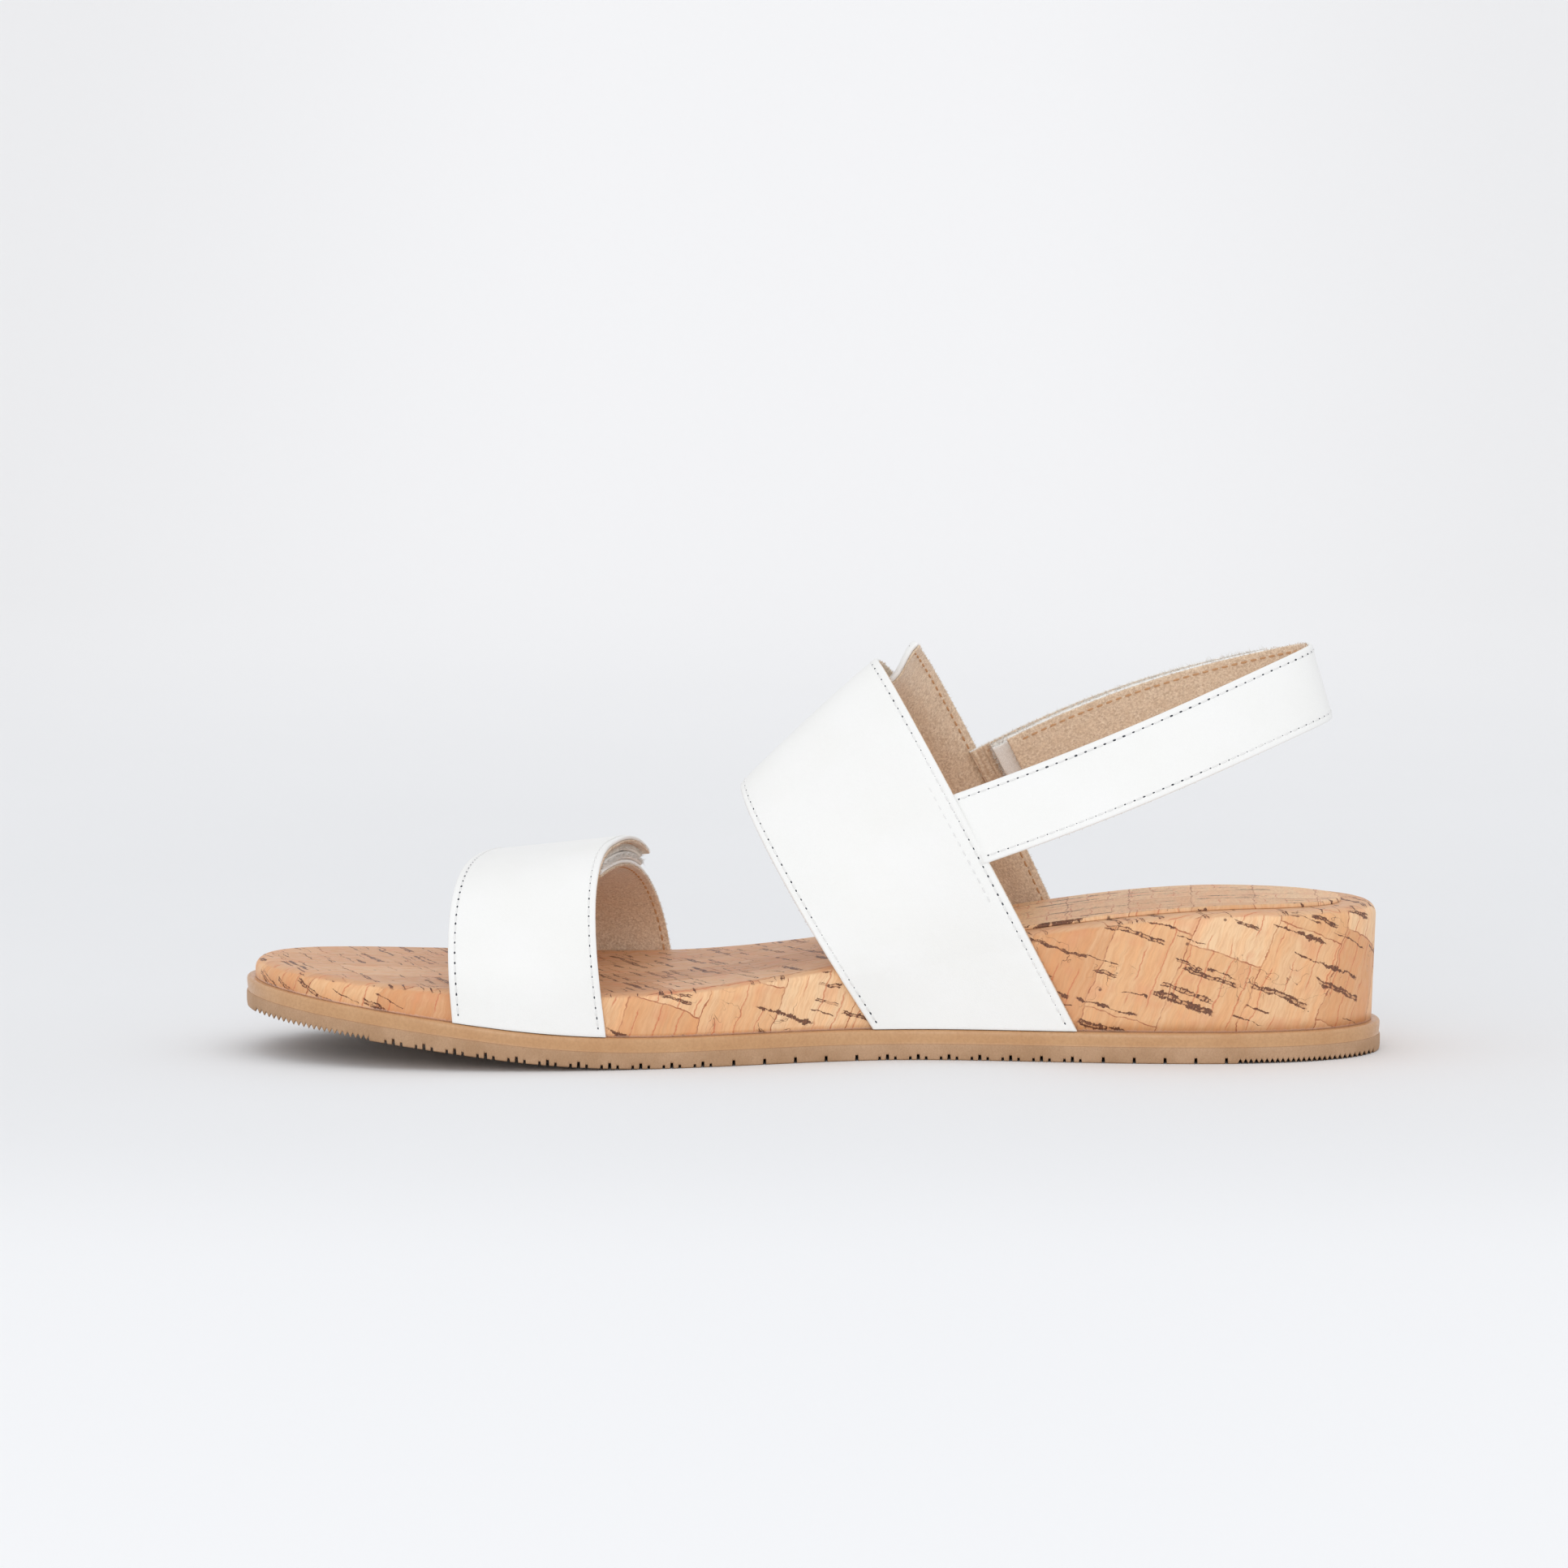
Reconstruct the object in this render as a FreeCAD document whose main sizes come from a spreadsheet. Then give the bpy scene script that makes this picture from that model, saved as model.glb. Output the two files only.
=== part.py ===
"""Right-foot wedge sandal: rubber outsole, cork-wrapped wedge, two hook-and-loop straps and a slingback.

Millimetres. +X runs from toe to heel, +Y to the lateral side, +Z up. The origin is the centre of the
outsole's footprint box, on the ground.
"""

import FreeCAD, Part
import bisect
import math
import os

from FreeCAD import Vector

# alias, value, what it is
DIMENSIONS = [
    ("sole_length", 255.0, "outsole, toe tip to heel"),
    ("sole_width", 92.0, "outsole, across the ball"),
    ("outsole_height", 6.8, "outsole side wall"),
    ("toe_ramp", 0.13, "rise of the toe off the ground, per unit of length"),
    ("ramp_start", 30.0, "where the toe starts to lift, from mid-length towards the toe"),
    ("ramp_blend", 40.0, "stretch over which the lift grows to its full slope"),
    ("forefoot_height", 16.7, "ground to footbed at the ball"),
    ("heel_height", 33.4, "ground to footbed at the heel"),
    ("slope_start", 41.0, "where the footbed starts to climb, from mid-length towards the toe"),
    ("slope_length", 139.0, "stretch over which the footbed climbs to the heel"),
    ("toe_lift", 4.8, "rise of the footbed at the toe tip"),
    ("rim_width", 2.0, "ledge of the outsole around the cork"),
    ("cork_gauge", 1.2, "cork wrap"),
    ("foam_gauge", 2.0, "cushion under the cork"),
    ("board_gauge", 1.0, "fibre insole board"),
    ("edge_radius", 2.9, "rounded upper edge of the footbed"),
    ("core_front", 105.0, "thin front edge of the wedge core, from mid-length towards the toe"),
    ("sock_gauge", 0.9, "cork heel sock"),
    ("sock_inset", 9.0, "heel sock edge in from the outsole edge"),
    ("sock_length", 104.0, "heel sock, from the heel to its straight front edge"),
    ("shank_length", 104.0, "steel shank"),
    ("shank_width", 13.0, "steel shank"),
    ("shank_gauge", 1.3, "steel shank"),
    ("shank_start", 40.0, "heel end of the shank, from the back of the outsole"),
    ("groove_pitch", 6.8, "tread grooves, centre to centre"),
    ("groove_width", 1.0, "tread groove"),
    ("groove_depth", 1.2, "tread groove"),
    ("groove_count", 27, "tread grooves"),
    ("groove_first", 16.0, "first groove, from the back of the outsole"),
    ("leather_gauge", 1.0, "strap outer"),
    ("lining_gauge", 0.6, "strap lining"),
    ("tape_gauge", 1.6, "hook tape, and loop tape"),
    ("tape_gap", 0.3, "hook tape to loop tape, unpressed"),
    ("glue_gap", 0.05, "between bonded layers"),
    ("fold_gap", 0.3, "between a fixed strap and its moving end"),
    ("strap_clearance", 0.1, "strap to cork wall"),
    ("vamp_width", 33.3, "front strap at the sole"),
    ("vamp_place", 62.6, "front strap centre at the medial sole, from mid-length towards the toe"),
    ("vamp_skew", 15.2, "how much further back the lateral foot of the front strap is"),
    ("vamp_top_front", 42.4, "front strap arch height, leading edge"),
    ("vamp_top_back", 45.6, "front strap arch height, trailing edge"),
    ("instep_width", 45.5, "instep strap at the sole"),
    ("instep_place", 35.6, "instep strap centre at the medial sole, from mid-length towards the heel"),
    ("instep_skew", 3.4, "how much further back the lateral foot of the instep strap is"),
    ("instep_top_front", 58.2, "instep strap arch height, leading edge"),
    ("instep_top_back", 86.4, "instep strap arch height, trailing edge"),
    ("sling_width", 17.3, "heel strap"),
    ("sling_reach", 76.9, "heel strap, from its root back to the heel"),
    ("sling_root_medial", 35.6, "X of the medial root"),
    ("sling_root_lateral", 41.6, "X of the lateral root"),
    ("sling_low_medial", 51.5, "Z of the strap's middle at the medial root"),
    ("sling_low_lateral", 57.0, "Z of the strap's middle at the lateral root"),
    ("sling_high", 82.4, "Z of the strap's middle behind the heel"),
    ("sling_tilt_root", 28.0, "lean of the heel strap's width at its roots, degrees from vertical"),
    ("sling_tilt_heel", 16.0, "the same behind the heel"),
]

# Control points of the outsole's outline, seen from above: medial side first, from heel to toe.
OUTLINE_POLES = [
    (131, -1), (122, -25), (95, -35), (55, -31), (16, -22.5), (-18, -37), (-55, -47), (-90, -45.5),
    (-118, -34), (-133, -9), (-125, 21), (-98, 40), (-58, 47.5), (-12, 46), (35, 36), (80, 33.5), (118, 26),
]
MEDIAL = -1
LATERAL = 1
FAR = 200.0  # well outside the sandal
OUTLINE_SAMPLES = 2000  # to measure the raw outline
WALL_SAMPLES = 720  # to look up the outline by X
SKETCH_POINTS = 68  # on an outline sketch
PROFILE_SPANS = 48  # on a height curve, toe to heel
STRIP_SPANS = 12  # on a height curve of the shank
ON_CURVE = 0.1  # how near an edge lies to a height curve that it belongs to
SLOT_OPEN_TOP = 5.0  # the shank's slot is cut this far above the wedge


def make_sheet(doc):
    """Spreadsheet of the driving dimensions."""
    sheet = doc.addObject("Spreadsheet::Sheet", "Dimensions")
    for row, (alias, value, note) in enumerate(DIMENSIONS, start=1):
        sheet.set(f"A{row}", alias)
        sheet.set(f"B{row}", str(value))
        sheet.set(f"C{row}", note)
        sheet.setAlias(f"B{row}", alias)
    doc.recompute()
    return sheet


doc = FreeCAD.newDocument("wedge_sandal")
sheet = make_sheet(doc)
size = {alias: float(sheet.get(alias)) for alias, _, _ in DIMENSIONS}

HALF = size["sole_length"] / 2
REACH = HALF + 10  # sketches run past the sole on both ends
CORK_INSET = size["rim_width"]
CORE_INSET = size["rim_width"] + size["cork_gauge"] + size["glue_gap"]
CORE_ROUNDING = "Dimensions.edge_radius - Dimensions.cork_gauge"
# Depth of everything under the overlay strap where the underlay lies beneath it.
TAPE_STACK = 2 * size["tape_gauge"] + size["tape_gap"] + size["glue_gap"]
UNDERLAY_STACK = size["leather_gauge"] + size["glue_gap"] + size["lining_gauge"]


# ---------------------------------------------------------------- shape of the sole


def smooth(t):
    """0 to 1 with level ends."""
    t = min(1.0, max(0.0, t))
    return t * t * (3 - 2 * t)


def ground(x):
    """Underside of the outsole: flat, then lifting towards the toe."""
    past = max(0.0, -x - size["ramp_start"])
    curved = min(past, size["ramp_blend"])
    return size["toe_ramp"] * (curved**2 / (2 * size["ramp_blend"]) + past - curved)


def outsole_top(x):
    return ground(x) + size["outsole_height"]


def footbed(x):
    """Upper surface of the cork wrap."""
    climb = smooth((x + size["slope_start"]) / size["slope_length"])
    toe = max(0.0, -x - size["slope_start"]) / (HALF - size["slope_start"])
    rise = (size["heel_height"] - size["forefoot_height"]) * climb
    return size["forefoot_height"] + rise + size["toe_lift"] * toe**2


def core_top(x):
    return footbed(x) - size["cork_gauge"] - size["glue_gap"]


def board_top(x):
    return core_top(x) - size["foam_gauge"]


def wedge_top(x):
    return board_top(x) - size["board_gauge"] - size["glue_gap"]


def closed_spline(poles, count):
    """Points and unit tangents of the closed uniform cubic B-spline on these poles."""
    found = []
    for k in range(count):
        whole, t = divmod(k * len(poles) / count, 1.0)
        quad = [poles[(int(whole) + j - 1) % len(poles)] for j in range(4)]
        weights = [(1 - t) ** 3, 3 * t**3 - 6 * t**2 + 4, -3 * t**3 + 3 * t**2 + 3 * t + 1, t**3]
        slopes = [-((1 - t) ** 2), 3 * t**2 - 4 * t, -3 * t**2 + 2 * t + 1, t**2]
        point = [sum(w * q[i] for w, q in zip(weights, quad)) / 6 for i in (0, 1)]
        tangent = [sum(w * q[i] for w, q in zip(slopes, quad)) / 2 for i in (0, 1)]
        long = math.hypot(*tangent)
        found.append((point[0], point[1], tangent[0] / long, tangent[1] / long))
    return found


def fitted_poles():
    """The outline's poles, stretched so that the curve fills the sole's length and width exactly."""
    raw = closed_spline(OUTLINE_POLES, OUTLINE_SAMPLES)
    low = [min(p[i] for p in raw) for i in (0, 1)]
    high = [max(p[i] for p in raw) for i in (0, 1)]
    spans = [size["sole_length"], size["sole_width"]]
    return [
        tuple((p[i] - (low[i] + high[i]) / 2) * spans[i] / (high[i] - low[i]) for i in (0, 1))
        for p in OUTLINE_POLES
    ]


def outline(inset, count):
    """Points of the outsole's outline moved inwards by inset. The poles run clockwise, heel first."""
    return [(x + ty * inset, y - tx * inset) for x, y, tx, ty in closed_spline(POLES, count)]


POLES = fitted_poles()


def wall_table(inset):
    """The outline at this inset as two lists of (x, y), toe to heel: medial and lateral."""
    points = outline(inset, WALL_SAMPLES)
    toe = min(range(len(points)), key=lambda k: points[k][0])
    heel = max(range(len(points)), key=lambda k: points[k][0])
    ring = points[heel:] + points[:heel]
    split = (toe - heel) % len(points)
    return {MEDIAL: sorted(ring[: split + 1]), LATERAL: sorted(ring[split:])}


WALLS = {}


def wall(x, side, inset):
    """Y of the outline at this inset, on one side."""
    if inset not in WALLS:
        WALLS[inset] = wall_table(inset)
    table = WALLS[inset][side]
    k = bisect.bisect_left(table, (x, -FAR), 1, len(table) - 1)
    (xa, ya), (xb, yb) = table[k - 1], table[k]
    return ya + (yb - ya) * (x - xa) / (xb - xa)


# ---------------------------------------------------------------- sole parts


def plane_of(body, role):
    return next(f for f in body.Origin.OriginFeatures if f.Role == role)


def new_sketch(body, name, role):
    sketch = body.newObject("Sketcher::SketchObject", name)
    sketch.AttachmentSupport = [(plane_of(body, role), "")]
    sketch.MapMode = "FlatFace"
    return sketch


def outline_sketch(body, name, inset):
    """The outline, on a plane a little under the ground."""
    sketch = new_sketch(body, name, "XY_Plane")
    sketch.AttachmentOffset = FreeCAD.Placement(Vector(0, 0, -size["outsole_height"]), FreeCAD.Rotation())
    curve = Part.BSplineCurve()
    curve.interpolate(Points=[Vector(x, y, 0) for x, y in outline(inset, SKETCH_POINTS)], PeriodicFlag=True)
    sketch.addGeometry(curve)
    return sketch


def profile_sketch(body, name, height, far, curve_end=REACH):
    """XZ sketch of everything between a height curve and a level far away from it.

    From curve_end to the heel the edge is straight and level.
    """
    sketch = new_sketch(body, name, "XZ_Plane")
    xs = [-REACH + (curve_end + REACH) * k / PROFILE_SPANS for k in range(PROFILE_SPANS + 1)]
    curve = Part.BSplineCurve()
    curve.interpolate([Vector(x, height(x), 0) for x in xs])
    start = Vector(-REACH, height(-REACH), 0)
    end = Vector(curve_end, height(curve_end), 0)
    corners = [end, Vector(REACH, far, 0), Vector(-REACH, far, 0), start]
    if curve_end < REACH:
        corners.insert(1, Vector(REACH, height(REACH), 0))
    sketch.addGeometry(curve)
    for a, b in zip(corners, corners[1:]):
        sketch.addGeometry(Part.LineSegment(a, b))
    return sketch


def cut_symmetric(body, name, sketch):
    pocket = body.newObject("PartDesign::Pocket", name)
    pocket.Profile = sketch
    pocket.Type = "Length"
    pocket.SideType = "Symmetric"
    pocket.setExpression("Length", "Dimensions.sole_width * 2")
    return pocket


def rim_edges(shape, height):
    """Names of the edges that lie on a height curve."""
    names = []
    for n, edge in enumerate(shape.Edges, start=1):
        points = edge.discretize(9)
        if all(abs(p.z - height(p.x)) < ON_CURVE for p in points):
            names.append(f"Edge{n}")
    return names


def sole_layer(name, inset, top, bottom, rounding=None, bottom_curve_end=REACH):
    """A body with the outsole's outline, moved inwards, between two height curves."""
    body = doc.addObject("PartDesign::Body", name)
    body.Label = name
    pad = body.newObject("PartDesign::Pad", f"{name}_blank")
    pad.Profile = outline_sketch(body, f"{name}_outline", inset)
    pad.setExpression("Length", "Dimensions.heel_height * 2")
    cut_symmetric(body, f"{name}_upper_cut", profile_sketch(body, f"{name}_upper", top, FAR))
    doc.recompute()
    if rounding:
        sharp = body.Tip
        fillet = body.newObject("PartDesign::Fillet", f"{name}_rounding")
        fillet.Base = (sharp, rim_edges(sharp.Shape, top))
        fillet.setExpression("Radius", rounding)
        body.Tip = fillet
        doc.recompute()
    if bottom:
        lower = profile_sketch(body, f"{name}_lower", bottom, -FAR, bottom_curve_end)
        cut_symmetric(body, f"{name}_lower_cut", lower)
        doc.recompute()
    return body


def make_outsole():
    body = sole_layer("outsole", 0.0, outsole_top, ground, bottom_curve_end=-size["ramp_start"])
    before = body.Shape.Volume
    sketch = new_sketch(body, "groove_section", "XZ_Plane")
    x = HALF - size["groove_first"]
    half = size["groove_width"] / 2
    depth = size["groove_depth"]
    corners = [(x - half, -depth), (x + half, -depth), (x + half, depth), (x - half, depth)]
    for a, b in zip(corners, corners[1:] + corners[:1]):
        sketch.addGeometry(Part.LineSegment(Vector(*a, 0), Vector(*b, 0)))
    groove = cut_symmetric(body, "groove", sketch)
    doc.recompute()
    pattern = body.newObject("PartDesign::LinearPattern", "tread_grooves")
    pattern.Originals = [groove]
    pattern.Direction = (plane_of(body, "X_Axis"), [""])
    pattern.Reversed = True
    pattern.Mode = "Spacing"
    pattern.setExpression("Offset", "Dimensions.groove_pitch")
    pattern.setExpression("Occurrences", "Dimensions.groove_count")
    body.Tip = pattern
    doc.recompute()
    cut = before - body.Shape.Volume
    print(f"tread grooves take {cut:.0f} mm3")
    return body


def box_between(name, x_low, x_high, half_width, low, high):
    """A strip that follows two height curves, between two X positions."""
    body = doc.addObject("PartDesign::Body", name)
    body.Label = name
    sketch = new_sketch(body, f"{name}_side", "XZ_Plane")
    xs = [x_low + (x_high - x_low) * k / STRIP_SPANS for k in range(STRIP_SPANS + 1)]
    ends = []
    for height in (low, high):
        curve = Part.BSplineCurve()
        curve.interpolate([Vector(x, height(x), 0) for x in xs])
        sketch.addGeometry(curve)
        ends.append((Vector(x_low, height(x_low), 0), Vector(x_high, height(x_high), 0)))
    for side in (0, 1):
        sketch.addGeometry(Part.LineSegment(ends[0][side], ends[1][side]))
    pad = body.newObject("PartDesign::Pad", f"{name}_strip")
    pad.Profile = sketch
    pad.SideType = "Symmetric"
    pad.setExpression("Length", half_width)
    doc.recompute()
    return body


def front_block(name, limit):
    """A block that takes away everything towards the toe from an X position."""
    block = doc.addObject("Part::Box", name)
    block.setExpression("Length", "Dimensions.sole_length")
    block.setExpression("Width", "Dimensions.sole_width * 2")
    block.setExpression("Height", "Dimensions.heel_height * 4")
    block.setExpression("Placement.Base.x", f"{limit} - Dimensions.sole_length")
    block.setExpression("Placement.Base.y", "-Dimensions.sole_width")
    block.setExpression("Placement.Base.z", "-Dimensions.heel_height")
    return block


def boolean(kind, name, base, tool):
    made = doc.addObject(kind, name)
    made.Label = name
    made.Base = base
    made.Tool = tool
    doc.recompute()
    return made


def make_shank_and_wedge():
    heel_end = HALF - size["shank_start"]
    toe_end = heel_end - size["shank_length"]
    gap = size["glue_gap"]

    def shank_high(x):
        return wedge_top(x) - gap

    def shank_low(x):
        return wedge_top(x) - gap - size["shank_gauge"]

    shank = box_between("shank", toe_end, heel_end, "Dimensions.shank_width", shank_low, shank_high)
    slot = box_between(
        "shank_slot",
        toe_end - gap,
        heel_end + gap,
        "Dimensions.shank_width + 2 * Dimensions.glue_gap",
        lambda x: shank_low(x) - gap,
        lambda x: wedge_top(x) + SLOT_OPEN_TOP,
    )
    blank = sole_layer("wedge_blank", CORE_INSET, wedge_top, lambda x: outsole_top(x) + gap)
    slotted = boolean("Part::Cut", "wedge_slotted", blank, slot)
    front = front_block("wedge_front_cut", "-Dimensions.core_front")
    return shank, boolean("Part::Cut", "wedge_core", slotted, front)


def make_cork_wrap():
    gap = size["glue_gap"]
    outer = sole_layer(
        "cork_blank", CORK_INSET, footbed, lambda x: outsole_top(x) + gap, "Dimensions.edge_radius"
    )
    inner = sole_layer("core_envelope", CORE_INSET - gap, lambda x: core_top(x) + gap, None, CORE_ROUNDING)
    return boolean("Part::Cut", "cork_wrap", outer, inner)


def make_insole():
    gap = size["glue_gap"]
    board = sole_layer(
        "insole_board", CORE_INSET, lambda x: board_top(x) - gap, lambda x: wedge_top(x) + gap
    )
    foam = sole_layer("footbed_foam", CORE_INSET, core_top, board_top, CORE_ROUNDING)
    return board, foam


def make_heel_sock():
    """Cork pad on the footbed: round at the heel, straight across at the front."""
    bottom = size["glue_gap"]
    top = bottom + size["sock_gauge"]
    blank = sole_layer(
        "sock_blank", size["sock_inset"], lambda x: footbed(x) + top, lambda x: footbed(x) + bottom
    )
    front = front_block("sock_front_cut", "Dimensions.sole_length / 2 - Dimensions.sock_length")
    return boolean("Part::Cut", "heel_sock", blank, front)


# ---------------------------------------------------------------- straps


class Strap:
    """The inner surface of an overlay strap, from its medial foot over the foot to its lateral foot.

    across runs from -0.5 at the leading edge to 0.5 at the trailing edge. along runs 0 to 1 up the medial
    wall, 1 to 2 over the medial half of the arch, 2 to 3 down the lateral half, and 3 to 4 down the wall.
    """

    def __init__(self, middle, width, skew, leans, shifts, tops, apex_y, power):
        """leans, shifts and tops are pairs, for the leading and the trailing edge."""
        self.middle = middle
        self.width = width
        self.skew = skew
        self.leans = leans
        self.shifts = shifts
        self.tops = tops
        self.apex_y = apex_y
        self.power = power
        self.insets = {
            MEDIAL: CORK_INSET - size["strap_clearance"],
            LATERAL: CORK_INSET - size["strap_clearance"] - TAPE_STACK - UNDERLAY_STACK - size["glue_gap"],
        }

    def lean(self, across):
        """How far the strap leans towards the toe, per unit of height."""
        return self.leans[0] + (self.leans[1] - self.leans[0]) * (across + 0.5)

    def foot(self, across, side):
        """X and Z of the strap's lower edge on one side."""
        x = self.middle + across * self.width + (self.skew if side == LATERAL else 0.0)
        return x, outsole_top(x) + size["strap_clearance"]

    def wall_point(self, across, side, share):
        """Point on the cork wall, share 0 at the foot and 1 where the strap leaves the wall."""
        foot_x, foot_z = self.foot(across, side)
        ridge_z = foot_z
        for _ in range(6):
            ridge_z = footbed(foot_x - self.lean(across) * (ridge_z - foot_z)) - size["edge_radius"]
        z = foot_z + (ridge_z - foot_z) * share
        x = foot_x - self.lean(across) * (z - foot_z)
        return Vector(x, wall(x, side, self.insets[side]), z)

    def arch_point(self, across, side, share):
        """Point on half of the arch, share 0 at the wall and 1 at the top."""
        ridge = self.wall_point(across, side, 1.0)
        top = self.tops[0] + (self.tops[1] - self.tops[0]) * (across + 0.5)
        shift = self.shifts[0] + (self.shifts[1] - self.shifts[0]) * (across + 0.5)
        if side == LATERAL:
            shift -= self.skew
        angle = share * math.pi / 2
        y = self.apex_y + (ridge.y - self.apex_y) * math.cos(angle) ** (2 / self.power)
        z = ridge.z + (top - ridge.z) * math.sin(angle) ** (2 / self.power)
        crossing = 1 - (y - self.apex_y) / (ridge.y - self.apex_y)
        x = ridge.x - self.lean(across) * (z - ridge.z) + shift * crossing
        return Vector(x, y, z)

    def point(self, across, along):
        if along <= 1:
            return self.wall_point(across, MEDIAL, along)
        if along <= 2:
            return self.arch_point(across, MEDIAL, along - 1)
        if along <= 3:
            return self.arch_point(across, LATERAL, 3 - along)
        return self.wall_point(across, LATERAL, 4 - along)


class Sling:
    """The inner surface of the heel strap: a U from the medial root (along 0) to the lateral root (1).

    across runs from -0.5 at the lower edge to 0.5 at the upper edge.
    """

    power = 2.7

    def __init__(self, medial_y, lateral_y, roll, bulges):
        """bulges is how far the medial and the lateral leg arch above a straight line."""
        self.medial_y = medial_y
        self.lateral_y = lateral_y
        self.roll = roll
        self.bulges = bulges
        self.width = size["sling_width"]

    def centre(self, angle):
        """Middle of the strap, angle 0 at the medial root and pi at the lateral root."""
        back = abs(math.sin(angle)) ** (2 / self.power)
        side = math.copysign(abs(math.cos(angle)) ** (2 / self.power), math.cos(angle))
        share = (1 - math.cos(angle)) / 2
        root_x = size["sling_root_medial"] + (size["sling_root_lateral"] - size["sling_root_medial"]) * share
        root_z = size["sling_low_medial"] + (size["sling_low_lateral"] - size["sling_low_medial"]) * share
        heel_x = size["sling_root_medial"] + size["sling_reach"]
        x = root_x + (heel_x - root_x) * back
        bulge = self.bulges[0] + (self.bulges[1] - self.bulges[0]) * share
        z = root_z + (size["sling_high"] - root_z) * back + 4 * bulge * back * (1 - back)
        middle_y = (self.medial_y + self.lateral_y) / 2
        return Vector(x, middle_y + (self.medial_y - middle_y) * side, z), side, back

    def point(self, across, along):
        centre, side, back = self.centre(along * math.pi)
        tilt_change = size["sling_tilt_heel"] - size["sling_tilt_root"]
        tilt = math.radians(size["sling_tilt_root"] + tilt_change * back)
        up = Vector(-math.sin(tilt), self.roll * side, math.cos(tilt)).normalize()
        return centre + up * (across * self.width)


LENGTH_SAMPLES = 300  # to space points evenly along a strap
CURL_SHARE = 0.2  # share of the strap's width over which a curl rises
ARCH_HALF_LENGTH = 50.0  # one unit of along, over the arch
LONG_GRID = (25, 7)  # surface points along and across
LONG_CURLED_GRID = (25, 9)
SHORT_GRID = (13, 7)
SLING_GRID = (41, 5)
SLING_TAB_GRID = (17, 5)
SLING_TAPE_GRID = (13, 5)
FULL_WIDTH = (-0.5, 0.5)


def outward(surface, across, along):
    """Unit normal of the surface, away from the foot."""
    step = 1e-3
    last = 4.0 if isinstance(surface, Strap) else 1.0
    low, high = max(0.0, along - step), min(last, along + step)
    lengthwise = surface.point(across, high) - surface.point(across, low)
    crosswise = surface.point(across + step, along) - surface.point(across - step, along)
    normal = crosswise.cross(lengthwise) if isinstance(surface, Strap) else lengthwise.cross(crosswise)
    return normal.normalize()


def evenly(surface, start, end, count):
    """Positions from start to end, equally spaced by length along the middle of the strap."""
    at = [start + (end - start) * k / LENGTH_SAMPLES for k in range(LENGTH_SAMPLES + 1)]
    points = [surface.point(0.0, a) for a in at]
    lengths = [0.0]
    for p, q in zip(points, points[1:]):
        lengths.append(lengths[-1] + p.distanceToPoint(q))
    found = []
    for n in range(count):
        target = lengths[-1] * n / (count - 1)
        k = min(max(bisect.bisect_left(lengths, target), 1), LENGTH_SAMPLES)
        share = (target - lengths[k - 1]) / (lengths[k] - lengths[k - 1])
        found.append(at[k - 1] + (at[k] - at[k - 1]) * share)
    return found


def sheet_face(surface, acrosses, alongs, offset, curl):
    """B-spline surface through a grid of points, offset outwards from the strap's inner surface."""
    grid = []
    for along in alongs:
        row = []
        for start, end, share in acrosses(along):
            across = start + (end - start) * share
            lifted = offset + curl * smooth((across - 0.5) / CURL_SHARE)
            row.append(surface.point(across, along) + outward(surface, across, along) * lifted)
        grid.append(row)
    face = Part.BSplineSurface()
    face.interpolate(grid)
    return face


def layer(name, surface, along, across, offset, counts, drift=0.0, curl=0.0):
    """One closed sheet of a strap between two offsets, as a document object.

    counts is the number of surface points along and across. drift slides the first end of the sheet
    across the strap, in strap widths. curl lifts the part that then stands out behind the overlay strap.
    """
    alongs = evenly(surface, *along, counts[0])

    def acrosses(at):
        shift = drift * (at - along[1]) / (along[0] - along[1])
        return [(across[0] + shift, across[1] + shift, k / (counts[1] - 1)) for k in range(counts[1])]

    inner, outer = (sheet_face(surface, acrosses, alongs, d, curl) for d in offset)
    u_low, u_high, v_low, v_high = inner.bounds()
    faces = [inner.toShape(), outer.toShape()]
    for u in (u_low, u_high):
        faces.append(Part.makeRuledSurface(inner.uIso(u).toShape(), outer.uIso(u).toShape(), 1))
    for v in (v_low, v_high):
        faces.append(Part.makeRuledSurface(inner.vIso(v).toShape(), outer.vIso(v).toShape(), 1))
    shell = Part.makeShell(faces)
    shell.sewShape()
    solid = Part.makeSolid(shell)
    if solid.Volume < 0:
        solid.reverse()
    made = doc.addObject("Part::Feature", name)
    made.Label = name
    made.Shape = solid
    return made


def stack(first, *gauges):
    """Offsets of bonded layers, outwards from the first surface: (from, to) for each gauge."""
    at = first
    found = []
    for gauge in gauges:
        found.append((at, at + gauge))
        at += gauge + size["glue_gap"]
    return found


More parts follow.
